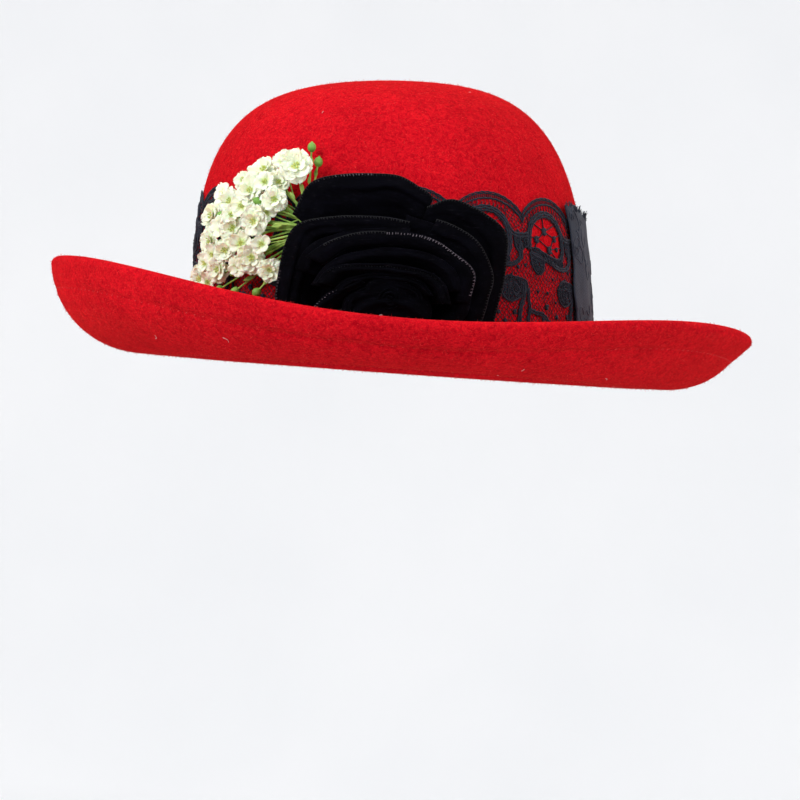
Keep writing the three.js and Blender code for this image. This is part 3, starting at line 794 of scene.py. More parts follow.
def build_lace():
    """The cords with everything sewn solid between them, and the open net, as two bodies."""
    cords, net = Parts(), Parts()
    ground, fill = net_threads()
    rng = np.random.default_rng(SHAPE_SEED)
    for repeat in range(SCALLOPS):
        for pairs, holder, wide, thick, cover in ((ground, net, 0.16, 0.13, NET_COVER),
                                                  (fill, cords, 0.30, 0.22, FILL_COVER)):
            start = lace_point(pairs[:, 0, 0] + repeat, pairs[:, 0, 1], cover)
            end = lace_point(pairs[:, 1, 0] + repeat, pairs[:, 1, 1], cover)
            normal = lace_normal(pairs[:, 0, 0] + repeat, pairs[:, 0, 1])
            jitter = rng.normal(0, 0.06, len(pairs))[:, None] * normal
            jitter = jitter + rng.normal(0, 0.17, (len(pairs), 3))
            holder.add_all(*prisms(start + jitter, end + jitter, normal, wide, thick))
        edge = np.linspace(-0.5, 0.5, 45)
        top = scallop(edge)
        add_cord(cords, np.stack([edge + repeat, top], 1), 1.1, EDGE_COVER, 2, 0.10)
        add_cord(cords, np.stack([edge + repeat, top - 2.1], 1), 0.8, FILL_COVER, 1, 0.10)
        rungs = np.linspace(-0.49, 0.49, 34)
        add_rungs(cords, rungs + repeat, scallop(rungs) - 0.2, scallop(rungs) - 2.2)
        legs = np.linspace(-0.40, 0.24, 12)
        add_rungs(cords, legs + repeat, scallop(legs) - 2.2, arch_top(legs), 0.16)
        for path, width, strands in CORDS:
            add_cord(cords, shifted(smooth_path(path), repeat), width, CORD_COVER, strands, 0.16)
        for leaf in FILLED_LEAVES:
            loop = smooth_path(leaf + leaf[:1], 4)
            add_cord(cords, shifted(loop, repeat), 0.75, LOOP_COVER, 1, 0.05)
        for u, z, radius in SPOTS:
            turn = np.linspace(0, TAU, 9)
            ring = np.stack([u + repeat + 0.5 * radius * np.cos(turn) / REPEAT_WIDTH,
                             z + 0.5 * radius * np.sin(turn)], 1)
            add_cord(cords, ring, radius * 0.95, LOOP_COVER)
        for a, b in TIES:
            add_cord(cords, shifted(np.linspace(a, b, 5), repeat), 0.42, TIE_COVER)
        for level, width in ((LACE_LOW + 0.7, 1.2), (LACE_LOW + 3.0, 0.8)):
            line = np.stack([edge + repeat, np.full(len(edge), level)], 1)
            add_cord(cords, line, width, EDGE_COVER, 1, 0.04)
        add_rungs(cords, rungs + repeat, 0 * rungs + LACE_LOW + 3.0, 0 * rungs + LACE_LOW + 0.6)
    return cords, net


def arch_top(u):
    """The height of the arch's upper side, where the rungs from the edge end."""
    path = smooth_path(ARCH)[:-12]
    order = np.argsort(path[:, 0])
    return np.interp(u, path[order, 0], path[order, 1]) + 0.6


def add_rungs(holder, u, high, low, wide=0.22):
    """Short threads across the gap between two cords."""
    feet, heads = lace_point(u, low, RUNG_COVER), lace_point(u, high, RUNG_COVER)
    holder.add_all(*prisms(feet, heads, lace_normal(u, high), wide, 0.18))


LACE = lace_material("lace_yarn", (0.007, 0.009, 0.016), (0.024, 0.030, 0.048))
lace_cords, lace_net = build_lace()
lace = lace_cords.piece("lace_band_cords", LACE, "lace", ["lace_band"])
net = lace_net.piece("lace_band_net", LACE, "lace")


# ---- The doubled strip over the lace's join, frayed at its top ----

STRIP_LEFT, STRIP_RIGHT = -28.6, -1.0
STRIP_COVER, STRIP_THICKNESS = 4.3, 0.9


def strip_point(a, b, lift):
    """a across from the wavy left edge, b up the strip to its ragged top."""
    wave = 1.0 * np.sin(b * 9.4 + 0.6) + 0.45 * np.sin(b * 23)
    left = STRIP_LEFT + 2.0 * (0.9 - b) + wave * 0.75
    right = STRIP_RIGHT + 0.6 * np.sin(b * 8)
    ragged = 0.9 * np.sin(a * 17) + 0.7 * np.sin(a * 41 + 1) + 1.3 * np.sin(a * 6.1 + 0.4)
    z = LACE_LOW + b * (LACE_HIGH + 2.2 - LACE_LOW + ragged * b ** 3)
    angle = np.radians(left + a * (right - left))
    ply = 0.16 * np.sin(a * 14 + b * 5) + 0.12 * np.sin(b * 19 - a * 7)
    flare = 0.7 * b ** 6
    return uneven(crown_point(angle, z, STRIP_COVER + ply + flare + lift))


def build_strip():
    """The folded strip with rounded edges, its frayed top threads, and the curls raised on it."""
    strip = Parts()
    a, b = np.meshgrid(np.linspace(0, 1, 70), np.linspace(0, 1, 110), indexing="ij")
    edge = rounded(2 * a - 1, 30) * rounded(2 * b - 1, 40)
    half = STRIP_THICKNESS / 2 * (0.25 + 0.75 * edge)
    strip.add(*shell_body(strip_point(a, b, -half), strip_point(a, b, half)))
    rng = np.random.default_rng(SHAPE_SEED + 1)
    for _ in range(150):
        at = rng.random()
        along = np.linspace(0, 1, 5)
        drift = rng.normal(0, 0.012)
        base = strip_point(np.full(5, at) + drift * along, np.full(5, 0.985), 0.0)
        rise = rng.uniform(0.6, 3.0)
        outward = unit(lace_normal(np.zeros(5), np.full(5, 64.0)))
        path = base + along[:, None] * [rng.normal(0, 0.4), rng.normal(0, 0.4), rise]
        path = path + outward * (rng.normal(0, 0.4) * along ** 2)[:, None]
        strip.add(*strand(path, outward, 0.13, 0.11, 4))
    for _ in range(26):
        centre = rng.random(2) * [0.86, 0.9] + [0.07, 0.04]
        turn = np.linspace(0, rng.uniform(2.5, 5.5), 12) + rng.random() * TAU
        size = rng.uniform(0.03, 0.09)
        u = np.clip(centre[0] + size * 1.5 * np.cos(turn) * (1 - turn / 24), 0.02, 0.98)
        v = np.clip(centre[1] + size * np.sin(turn) * (1 - turn / 24), 0.01, 0.97)
        path = strip_point(u, v, 0.5)
        strip.add(*strand(path, unit(strip_point(u, v, 1.5) - path), 0.42, 0.16, 6))
    return strip


def strip_material():
    made = Surface("doubled_lace", Sheen_Weight=0.08, Sheen_Roughness=0.5, Specular_IOR_Level=0.1)
    yarn = made.noise(0.55, detail=3, roughness=0.7)
    cross = made.stretch((1, 1, 1), (0.0, 0.78, 0.0))
    net_one = made.wave(0.9, "X", cross, 5.0)
    net_two = made.wave(0.9, "Z", cross, 5.0)
    net_both = made.mix(0.5, net_one, net_two)
    blots = made.fade(made.noise(5.5, detail=3), 0.40, 0.62)
    color = made.mix(blots, (0.010, 0.014, 0.024), (0.021, 0.028, 0.044))
    color = made.mix(made.fade(yarn, 0.35, 0.75, 0.45), color, (0.036, 0.046, 0.068))
    color = made.mix(made.ramp(net_both, [(0.22, 0.3), (0.5, 0.0)]), color, (0.008, 0.008, 0.012))
    normal = made.bump(net_both, 0.16, 0.5)
    normal = made.bump(yarn, 0.15, 0.8, normal)
    return made.finish(color, made.ramp(yarn, [(0.2, 0.65), (0.8, 0.9)]), normal)


strip = build_strip().piece("lace_join_strip", strip_material(), "lace", ["lace_join"])


# ---- Velvet rose: petals of folded ribbon round a rolled core ----

def velvet_material(name, dark, pale):
    made = Surface(name, Sheen_Weight=0.035, Sheen_Roughness=0.2, Sheen_Tint=(0.5, 0.5, 0.9, 1),
                   Specular_IOR_Level=0.03)
    pile = made.noise(0.45, detail=3, roughness=0.7)
    brushed = made.noise(9, detail=3, distortion=1.0, coords=made.stretch((0.6, 1, 1.8)))
    color = made.mix(made.fade(brushed, 0.42, 0.75), dark, pale)
    color = made.mix(made.fade(pile, 0.55, 0.8, 0.4), color, pale)
    # Painted highlight: thin pale streaks stand in for the velvet's sheen lines along its folds.
    painted_sheen_streaks = made.noise(1.6, detail=3, roughness=0.6, coords=made.stretch((0.3, 1, 2.6)))
    color = made.mix(made.fade(painted_sheen_streaks, 0.62, 0.78, 0.8), color, (0.011, 0.010, 0.013))
    normal = made.bump(brushed, 0.5, 0.5)
    normal = made.bump(pile, 0.12, 0.7, normal)
    return made.finish(color, made.ramp(pile, [(0.2, 0.8), (0.8, 1.0)]), normal)


VELVET = velvet_material("black_velvet", (0.0004, 0.0004, 0.0012), (0.0014, 0.0014, 0.0032))
SELVEDGE = lace_material("velvet_selvedge", (0.02, 0.018, 0.022), (0.26, 0.22, 0.26))
DARK_SELVEDGE = lace_material("dark_selvedge", (0.0008, 0.0008, 0.0016), (0.0035, 0.0035, 0.006))

# Each petal: how far its rim stands off the lace, its rim as (x, z) points, and its folds as
# (place between root and rim, height).
PETALS = (
    (10, [(-43, 58), (-36, 71), (-20, 75), (-3, 75.5), (8, 70.5), (12, 67.4)], [(0.45, 0.7), (0.78, 1.0)]),
    (11, [(10, 64), (20, 67.5), (34, 63), (42, 56), (42.5, 45), (41, 30), (38, 14)],
     [(0.35, 0.8), (0.72, 0.7)]),
    (14, [(-46, 14), (-47.5, 28), (-45, 44), (-40, 54), (-26, 57.5), (-12, 58.5), (4, 57)],
     [(0.28, 0.8), (0.55, 0.9), (0.80, 0.8)]),
    (14, [(14, 59), (26, 55), (34, 48), (37.5, 38), (36, 28), (34, 18)], [(0.4, 0.8), (0.75, 0.8)]),
    (18, [(-36, 41), (-27, 48), (-16, 51.4), (0, 52.5), (13, 51), (22, 46.5), (30, 39), (28.7, 27)],
     [(0.30, 0.8), (0.62, 1.0)]),
    (21, [(-31, 31), (-25, 37), (-9, 39.4), (8, 38.5), (18, 34), (22, 26)], [(0.35, 0.8), (0.70, 0.9)]),
    (20, [(-34, 19), (-28, 25.5), (-20, 31), (-15, 34)], [(0.5, 0.8)]),
    (14, [(31, 13), (16, 9.5), (0, 8.5), (-16, 9.5), (-32, 13)], [(0.5, 0.7)]),
)
# Which share of each petal's rim, from first to last, has a pale stitched edge or a dark one.
STITCHED = {1: (0.25, 0.60), 3: (0.02, 0.26), 5: (0.40, 0.97), 7: (0.1, 0.9)}
FAINT = {1: (0.0, 1.0), 2: (0.0, 1.0), 3: (0.0, 1.0), 4: (0.0, 1.0), 5: (0.1, 0.4), 6: (0.1, 0.9)}


def rim_curve(rim, count):
    """Evenly spaced points along the petal's rim."""
    path = smooth_path(rim, 16)
    length = np.concatenate([[0], np.cumsum(np.linalg.norm(np.diff(path, axis=0), axis=1))])
    at = np.linspace(0, length[-1], count)
    return np.stack([np.interp(at, length, path[:, k]) for k in (0, 1)], 1), length[-1]


def petal_surface(depth, rim, folds, seed, b, lift):
    """Grid of points (along the rim, root to rim), lift off the petal's middle."""
    spoke = rim - [ROSE_X, ROSE_Z]
    radius = np.linalg.norm(spoke, axis=1)[:, None]
    heading = spoke / radius
    a = np.linspace(0, 1, len(rim))[:, None]
    stand = depth - ROSE_BASE_DEPTH
    tilt = np.arctan2(stand, radius * (1 - PETAL_ROOT))
    bulge = np.sin(np.clip(b, 0, 1) * math.pi * 0.62) / math.sin(math.pi * 0.62)
    size = np.clip(radius * (1 - PETAL_ROOT) / 18, 0.35, 1)
    waver = 0.035 * np.sin(a * 7 + seed) + 0.02 * np.sin(a * 17 + 2 * seed)
    crease = np.zeros(np.broadcast_shapes(a.shape, b.shape))
    for place, height in folds:
        fade = 0.55 + 0.45 * np.sin(a * math.pi * 1.3 + seed + place * 5)
        gap = b - place - waver
        fold = np.exp(-(gap / 0.075) ** 2) - 0.7 * np.exp(-((gap + 0.12) / 0.06) ** 2)
        crease = crease + height * fade * fold
    drape = 0.5 * np.sin(a * 11 + seed * 3 + b * 4) + 0.35 * np.sin(a * 23 + seed - b * 7)
    off = lift + size * (crease + drape * (0.3 + 0.7 * np.clip(b, 0, 1)))
    reach = radius * PETAL_ROOT + radius * (1 - PETAL_ROOT) * b - off * np.sin(tilt)
    place = heading[:, None, :] * reach[..., None] + [ROSE_X, ROSE_Z]
    return front_point(place[..., 0], place[..., 1], ROSE_BASE_DEPTH + stand * bulge + off * np.cos(tilt))


def add_ribbon(name, seed, depth, rim, folds, steps, thick, end_power, replaced=()):
    """A folded ribbon from the rose's middle out to the rim, thinner and rounded at its edges."""
    b = np.concatenate([np.linspace(-0.25, 0.94, steps), [0.97, 0.99, 1.0]])[None, :]
    round_off = np.sqrt(np.clip(1 - np.clip((b - 0.9) / 0.1, 0, 1) ** 2, 0, 1))
    ends = rounded(np.linspace(-1, 1, len(rim)), end_power)[:, None]
    half = thick * (0.12 + 0.88 * round_off * ends)
    body = Parts()
    body.add(*shell_body(petal_surface(depth, rim, folds, seed, b, -half),
                         petal_surface(depth, rim, folds, seed, b, half)))
    made = body.piece(name, VELVET, "velvet", replaced)
    petal_surface(depth, rim, folds, seed, b, 0.0)


def build_selvedge(number, depth, rim, length, folds, span, cord):
    """The ribbon's woven edge along the petal's rim: a cord and a row of fine teeth."""
    edge = Parts()
    fine, _ = rim_curve(rim, 200)
    b = np.array([[0.955, 1.0]])
    top = petal_surface(depth, fine, folds, number, b, np.array([[0.62, 0.25]]))
    outside = unit(top[:, 1] - top[:, 0])
    first, last = int(span[0] * 199), int(span[1] * 199)
    path = top[first:last, 1] + 0.1 * outside[first:last]
    edge.add(*strand(path, np.tile(FORWARDS, (len(path), 1)), cord, cord, 5))
    count = int(length * (span[1] - span[0]) / 1.15)
    at = np.linspace(first, last - 2, count).astype(int)
    rng = np.random.default_rng(number)
    reach = rng.uniform(1.0, 1.7, (count, 1))
    end = top[at, 1] + 0.25 * outside[at]
    start = end - outside[at] * reach + np.array([0, -0.42, 0])
    edge.add_all(*prisms(start, end, np.tile(FORWARDS, (count, 1)), 0.15, 0.12))
    return edge


for number, (depth, rim_points, folds) in enumerate(PETALS, 1):
    rim, length = rim_curve(rim_points, 90)
    add_ribbon(f"rose_petal_{number}_ribbon", number, depth, rim, folds, 38, 1.05, 14,
               [f"rose_petal_{number}"])
    for spans, thread, tag, cord in ((STITCHED, SELVEDGE, "selvedge", 0.07),
                                     (FAINT, DARK_SELVEDGE, "edge", 0.2)):
        if number in spans:
            edge = build_selvedge(number, depth, rim, length, folds, spans[number], cord)
            edge.piece(f"rose_petal_{number}_{tag}", thread, "velvet")


# Narrow inner folds that fill the rose between its petals: depth and rim, as for the petals.
FILL_FOLDS = (
    (15.5, [(-40, 36), (-36, 45), (-26, 50), (-12, 53.5), (4, 54.5)]),
    (12.5, [(2, 60), (14, 56.5), (24, 51), (31, 44), (33, 34)]),
    (19, [(-33, 30), (-28, 38), (-18, 43.5), (-2, 46), (12, 45), (22, 40), (26, 32)]),
    (20, [(-26, 27), (-19, 33), (-6, 36), (8, 34.5), (15, 29)]),
    (19.5, [(-18, 16), (-19, 24), (-12, 30), (0, 32.5), (9, 30), (12, 22)]),
    (16, [(30, 30), (27, 21), (18, 15), (6, 12.5), (-8, 12.5), (-22, 15)]),
)
for number, (depth, rim_points) in enumerate(FILL_FOLDS, 1):
    rim = rim_curve(rim_points, 70)[0]
    add_ribbon(f"rose_fold_{number}", number + 10, depth, rim, [(0.45, 0.7), (0.78, 0.6)], 26, 0.8, 10)


def build_core():
    """The rose's rolled heart: ribbon wound two and a half turns, its edge rising to a soft point."""
    core = Parts()
    turns = np.linspace(0, 2.6 * TAU, 150)
    radius = 1.0 + 4.9 * turns / turns[-1]
    height = np.linspace(0, 1, 14)
    half = 0.5
    grids = []
    for side in (-1, 1):
        r = (radius + side * half)[:, None] * (1 - 0.22 * height ** 3)[None, :]
        x = ROSE_X + r * np.cos(turns)[:, None]
        z = ROSE_Z + r * np.sin(turns)[:, None]
        top = 20.5 - 2.6 * (turns / turns[-1])[:, None] + 0.6 * np.sin(turns * 1.7)[:, None]
        grids.append(front_point(x, z, ROSE_BASE_DEPTH + top * height[None, :]))
    core.add(*shell_body(grids[0], grids[1]))
    made = core.piece("rose_core_roll", VELVET, "velvet", ["rose_core"])


build_core()


def build_heart():
    """A ribbon folded over the rolled heart, with creases that curve across it."""
    across, up = np.meshgrid(np.linspace(-1, 1, 60), np.linspace(-1, 1, 44), indexing="ij")
    swell = np.clip(1 - np.abs(across) ** 2.6 - np.abs(up) ** 2.6, 0, 1) ** 0.5
    squeeze = 1 / np.maximum(np.maximum(np.abs(across), np.abs(up)), 1e-6)
    round_in = np.hypot(across, up) * squeeze
    x = -3.0 + 17.5 * across / np.maximum(round_in, 1) ** 0.8
    z = 22.0 + 11.5 * up / np.maximum(round_in, 1) ** 0.8 + 2.2 * (1 - across ** 2)
    arc = up + 0.55 * across ** 2 - 0.25 * across
    creases = 1.0 * np.sin(arc * 7.5 + 0.8) + 0.45 * np.sin(arc * 15 + across * 3)
    top = 17.5 + 4.6 * swell + creases * swell ** 0.5
    heart = Parts()
    heart.add(*shell_body(front_point(x, z, top - 1.4), front_point(x, z, top)))
    made = heart.piece("rose_heart_fold", VELVET, "velvet")
    front_point(x, z, top - 0.7)


build_heart()


def tape_material(name, dark, pale, size_mm):
    made = Surface(name, Specular_IOR_Level=0.25)
    crepe = made.noise(size_mm, detail=4, coords=made.stretch((1, 1, 4)))
    color = made.mix(made.fade(crepe, 0.3, 0.7), dark, pale)
    return made.finish(color, made.ramp(crepe, [(0.2, 0.6), (0.8, 0.9)]), made.bump(crepe, 0.2, 0.7))


def dress(node, material):
    """A better material on a CAD node whose shape is right."""
    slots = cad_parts[node].data.materials
    slots.clear()
    slots.append(material)


dress("rose_backing", tape_material("buckram", (0.004, 0.004, 0.005), (0.012, 0.012, 0.014), 0.8))
dress("stem_binding", tape_material("floral_tape", (0.06, 0.15, 0.02), (0.16, 0.32, 0.06), 0.9))
dress("brim_wire", tape_material("wrapped_wire", (0.25, 0.24, 0.22), (0.5, 0.48, 0.45), 0.6))


# ---- Cloth flowers ----

# x, z and depth of each blossom's middle, its radius, and the way it faces: left, and up.
BLOSSOMS = (
    (-43.2, 77.1, 12, 6.4, 0.1, 0.3), (-56.2, 75.7, 9, 5.4, 0.5, 0.6), (-49.5, 70.6, 8.4, 4.6, 0.3, 0.3),
    (-60.9, 67, 13, 5.6, 0.5, 0.3), (-69.5, 63, 8, 5.2, 0.8, 0.3), (-58.4, 60.8, 7.6, 4.2, 0.5, 0),
    (-50.6, 63.4, 11.5, 5, 0.2, 0.1), (-58.3, 54.4, 16, 5.4, 0.3, -0.1), (-77, 57.4, 10, 5.4, 1.2, 0.1),
    (-67.2, 51.6, 12.5, 5.6, 0.4, 0.1), (-77.2, 46.8, 12, 4.8, 1, 0), (-69.4, 42.4, 17, 5, 0.5, 0.1),
    (-58.3, 40.1, 12, 5.6, 0.2, -0.1), (-72.6, 35.4, 12, 5, 0.6, -0.2), (-80.6, 31.5, 12, 4.6, 0.9, -0.2),
    (-50.6, 35.4, 9.4, 4.4, 0.1, -0.1),
)
# Small filling florets between the blossoms.
FLORETS = (
    (-48.5, 79.5, 7, 4.0, 0.2, 0.6), (-55, 70.5, 14, 4.0, 0.3, 0.2), (-64.5, 71.5, 8, 3.8, 0.7, 0.6),
    (-64, 60.5, 15, 4.2, 0.5, 0.1), (-73, 66, 11, 3.8, 1.0, 0.4), (-53.5, 58, 12, 3.6, 0.1, 0.1),
    (-71.8, 52, 16, 4.2, 0.7, 0.2), (-63, 45.6, 15, 4.4, 0.3, 0), (-75, 41, 14, 4.0, 0.8, -0.1),
    (-63.5, 36.8, 14, 4.2, 0.4, -0.2), (-76.5, 30, 14, 3.8, 0.8, -0.2), (-54.5, 45.5, 13, 3.6, 0.2, 0),
    (-79, 38, 10, 3.6, 1.1, 0), (-68, 57, 15, 3.8, 0.5, 0.2),
)
BUDS = (
    (-37.6, 85.6, 5), (-34.4, 79.6, 5), (-57.3, 62.4, 15.4), (-72.6, 57, 15), (-65, 34, 12.6),
    (-64.6, 26.6, 10), (-71.5, 27.2, 11), (-55.4, 26.4, 9),
)
# The blossoms and the buds that each sprig carries.
SPRIGS = (
    ((1, 2, 3), (1, 2)), ((4, 5, 6, 7), (3,)), ((8, 9, 10, 11), (4,)), ((12, 13, 14, 15), (5,)),
    ((16,), (6, 7, 8)),
)
BINDING_X, BINDING_Z, BINDING_DEPTH, BINDING_PITCH = -37, 53.5, 4, 2.2
BUD_RADIUS = 1.9


def spot(place):
    """One point in front of the lace, from (x, z, depth)."""
    return front_point(*place).reshape(3)


def facing_frame(left, up, spin):
    """Axes of a flower that faces left and up from the front, spun about its own stem."""
    out = unit(np.array([-left, -1.0, up]))
    side = unit(np.cross([0.0, 0.0, 1.0], out))
    over = np.cross(out, side)
    right = math.cos(spin) * side + math.sin(spin) * over
    return right, np.cross(out, right), out


def petal_grid(length, width, cup, curl, rng):
    """One cloth petal: narrow claw, broad cupped blade, rounded tip with a faint notch."""
    v = np.linspace(0, 1, 9)[:, None]
    s = np.linspace(-1, 1, 9)[None, :]
    blade = np.clip(v * 1.06, 0, 1) ** 0.75
    half = width * (0.16 + 0.84 * np.sin(blade * math.pi * 0.60) ** 1.1)
    half = half * np.sqrt(np.clip(1 - np.clip((v - 0.62) / 0.40, 0, 1) ** 2.4, 0.02, 1))
    notch = 0.10 * length * np.exp(-(s / 0.28) ** 2) * np.clip((v - 0.8) / 0.2, 0, 1)
    x = length * v * (1 - 0.04 * s ** 2) - notch
    y = half * s
    wobble = 0.085 * length * np.sin(s * rng.uniform(4, 7) + rng.uniform(0, TAU)) * v ** 2
    wobble = wobble + 0.07 * length * np.sin(v * 6 + rng.uniform(0, TAU)) * v
    z = cup * v ** 1.4 * length - curl * np.clip(v - 0.6, 0, 1) ** 2 * length * 3
    return x, y, z + 0.22 * half * s ** 2 + wobble


PETAL_UV = [(s, v) for v in np.linspace(0, 1, 9) for s in np.linspace(0, 1, 9)] * 2


def add_blossom(parts, uvs, centre, axes, radius, rng, layers):
    """Layers of petals about a flower's middle; uv's second number runs from claw to tip."""
    right, over, out = axes
    for count, size, cup, low in layers:
        for k in range(count):
            turn = (k + rng.normal(0, 0.10)) / count * TAU + low
            ray = math.cos(turn) * right + math.sin(turn) * over
            tangent = math.cos(turn) * over - math.sin(turn) * right
            length = radius * size * rng.uniform(0.82, 1.12)
            width = radius * size * rng.uniform(0.42, 0.54)
            x, y, z = petal_grid(length, width, cup * rng.uniform(0.5, 1.5), rng.uniform(0.04, 0.16), rng)
            blade = centre + x[..., None] * ray + y[..., None] * tangent + z[..., None] * out
            parts.add(*shell_body(blade - 0.11 * out, blade + 0.11 * out))
            uvs.extend(PETAL_UV)


def bead(centre, radius, rng, axis):
    """A small lumpy closed ball, drawn out a little along axis."""
    rows, columns = 6, 8
    side = unit(np.cross(axis, [0.3, 0.5, 0.8]))
    other = np.cross(axis, side)
    spin = np.arange(columns) / columns * TAU
    rings = []
    for i in range(rows):
        turn = (i + 0.35) / (rows - 0.3) * math.pi
        r = radius * math.sin(turn) * (1 + rng.normal(0, 0.04))
        ring = centre - 1.15 * radius * math.cos(turn) * axis
        rings.append(ring + r * (np.cos(spin)[:, None] * side + np.sin(spin)[:, None] * other))
    return np.concatenate(rings), ring_faces(rows, columns)


def petal_material():
    """White cloth, yellow-green towards the claw, with faint veins along it."""
    made = Surface("petal_cloth", Sheen_Weight=0.15, Specular_IOR_Level=0.25, Subsurface_Weight=0.25,
                   Subsurface_Scale=0.003)
    cloth = made.node("ShaderNodeTexCoord").outputs["UV"]
    out_from_eye = made.part(cloth, "Y")
    veins = made.noise(120, detail=2, coords=made.stretch((9, 0.6, 1), coords=cloth))
    weave = made.noise(0.4, detail=2)
    tint = made.noise(7, detail=2)
    color = made.mix(made.fade(out_from_eye, 0.10, 0.48), (0.62, 0.74, 0.16), (0.98, 0.98, 0.76))
    color = made.mix(made.fade(tint, 0.45, 0.75, 0.5), color, (0.94, 0.98, 0.58))
    color = made.mix(made.fade(veins, 0.55, 0.8, 0.35), color, (0.90, 0.94, 0.55))
    normal = made.bump(veins, 0.12, 0.5)
    normal = made.bump(weave, 0.05, 0.5, normal)
    return made.finish(color, made.ramp(weave, [(0.2, 0.55), (0.8, 0.8)]), normal)


def green_material(name, dark, pale):
    made = Surface(name, Specular_IOR_Level=0.35)
    tone = made.noise(5, detail=2)
    skin = made.noise(0.5, detail=2)
    color = made.mix(made.fade(tone, 0.35, 0.68), dark, pale)
    return made.finish(color, made.ramp(skin, [(0.2, 0.4), (0.8, 0.62)]), made.bump(skin, 0.06, 0.5))


PETAL_CLOTH = petal_material()
STEM_GREEN = green_material("stem_green", (0.13, 0.28, 0.03), (0.42, 0.60, 0.12))
BUD_GREEN = green_material("bud_green", (0.10, 0.26, 0.03), (0.24, 0.46, 0.07))
EYE_GREEN = green_material("eye_green", (0.36, 0.46, 0.06), (0.72, 0.70, 0.22))

eyes = Parts()
flower_rng = np.random.default_rng(SHAPE_SEED + 7)


def add_eye(centre, axes, radius):
    """A stamen in the middle and five round it, with round tips."""
    right, over, out = axes
    for k in range(6):
        turn = k / 6 * TAU + flower_rng.normal(0, 0.2)
        reach = radius * 0.13 if k else 0.0
        place = centre + reach * (math.cos(turn) * right + math.sin(turn) * over)
        tall = radius * flower_rng.uniform(0.14, 0.26)
        lean = unit(out + 0.35 * (math.cos(turn) * right + math.sin(turn) * over))
        path = place + lean * np.linspace(0.0, tall, 4)[:, None]
        eyes.add(*strand(path, np.tile(right, (4, 1)), 0.12, 0.12, 4))
        eyes.add(*bead(place + lean * tall, radius * 0.065, flower_rng, out))


def flower_piece(name, flowers, layers, replaced):
    """One mesh of cloth petals for some flowers, their eyes added to the one piece of all eyes."""
    parts, uvs = Parts(), []
    for x, z, depth, radius, left, up in flowers:
        axes = facing_frame(left, up, flower_rng.uniform(0, TAU))
        centre = spot((x, z, depth))
        add_blossom(parts, uvs, centre, axes, radius * 1.2, flower_rng, layers)
        add_eye(centre + 0.4 * axes[2], axes, radius)
    parts.piece(name, PETAL_CLOTH, "petal_white", replaced, uvs)


LAYERS = ((5, 1.02, 0.12, 0.0), (5, 0.84, 0.34, TAU / 10), (4, 0.55, 0.75, 0.4))
for number, blossom in enumerate(BLOSSOMS, 1):
    flower_piece(f"blossom_{number:02d}_petals", [blossom], LAYERS, [f"blossom_{number:02d}"])
flower_piece("filler_florets", FLORETS, ((5, 1.0, 0.30, 0.0),), [])
eyes.piece("blossom_eyes", EYE_GREEN, "stem_green")

for number, place in enumerate(BUDS, 1):
    bud = Parts()
    centre = spot(place)
    away = unit(centre - spot((BINDING_X, BINDING_Z, BINDING_DEPTH)))
    bud.add(*bead(centre, BUD_RADIUS * 0.95, flower_rng, away))
    bud.add(*bead(centre + away * BUD_RADIUS, BUD_RADIUS * 0.3, flower_rng, away))
    bud.piece(f"bud_{number}_ball", BUD_GREEN, "stem_green", [f"bud_{number}"])


def stem_path(start, goal, end, arrival):
    """From the binding low over the lace, and in along arrival to the flower's back."""
    low = (goal[0], goal[1], goal[2] - 3)
    spine = [spot([a + (b - a) * t for a, b in zip(start, low)]) for t in (0, 0.25, 0.5, 0.72)]
    return smooth_path(np.array(spine + [end - 1.2 * arrival, end]), 5)


def add_leaf(parts, base, heading, normal, length):
    """A slim folded leaf with a pointed tip."""
    v = np.linspace(0, 1, 9)[:, None]
    s = np.linspace(-1, 1, 5)[None, :]
    half = 0.20 * length * np.sin(math.pi * np.clip(v, 0.02, 0.985) ** 0.8)
    side = np.cross(normal, heading)
    grid = base + (v * length + 0 * s)[..., None] * heading + (half * s)[..., None] * side
    lift = 0.25 * half * np.abs(s) + 0.35 * length * v * (1 - v) * 0.4
    grid = grid + lift[..., None] * normal
    parts.add(*shell_body(grid - 0.1 * normal, grid + 0.1 * normal))


for index, (blossoms, buds) in enumerate(SPRIGS):
    sprig = Parts()
    start = (BINDING_X, BINDING_Z + BINDING_PITCH * (2 - index), BINDING_DEPTH)
    ends = []
    for x, z, depth, _, left, up in [BLOSSOMS[n - 1] for n in blossoms]:
        arrival = facing_frame(left, up, 0)[2]
        ends.append(((x, z, depth), spot((x, z, depth)) - arrival, arrival))
    for goal in [BUDS[n - 1] for n in buds]:
        arrival = unit(spot(goal) - spot(start))
        ends.append((goal, spot(goal) - (BUD_RADIUS - 0.2) * arrival, arrival))
    for goal, end, arrival in ends:
        path = stem_path(start, goal, end, arrival)
        taper = np.linspace(0.5, 0.34, len(path))
        sprig.add(*strand(path, np.tile(FORWARDS, (len(path), 1)), taper, taper, 8))
        for at in (9, 15):
            step = path[at + 1] - path[at]
            heading = unit(step + flower_rng.normal(0, 0.25, 3) * np.linalg.norm(step))
            normal = unit(np.cross(heading, np.cross(FORWARDS, heading)))
            add_leaf(sprig, path[at], heading, normal, flower_rng.uniform(3.0, 5.5))
    sprig.piece(f"sprig_{index + 1}_stems", STEM_GREEN, "stem_green", [f"sprig_{index + 1}"])

fine_stems = Parts()
for x, z, depth, _, left, up in FLORETS:
    out = facing_frame(left, up, 0)[2]
    end = spot((x, z, depth)) - 0.3 * out
    path = stem_path((BINDING_X, BINDING_Z + flower_rng.uniform(-5, 5), 3.2), (x, z, depth), end, out)
    fine_stems.add(*strand(path, np.tile(FORWARDS, (len(path), 1)), 0.3, 0.3, 6))
fine_stems.piece("floret_stems", STEM_GREEN, "stem_green")


# ---- Stage, light and camera ----

FLOOR_Z = -1.10
FLOOR_RADIUS, SWEEP_RADIUS, WALL_TOP = 2.4, 1.6, 3.0
BOWL_SIDES = 96


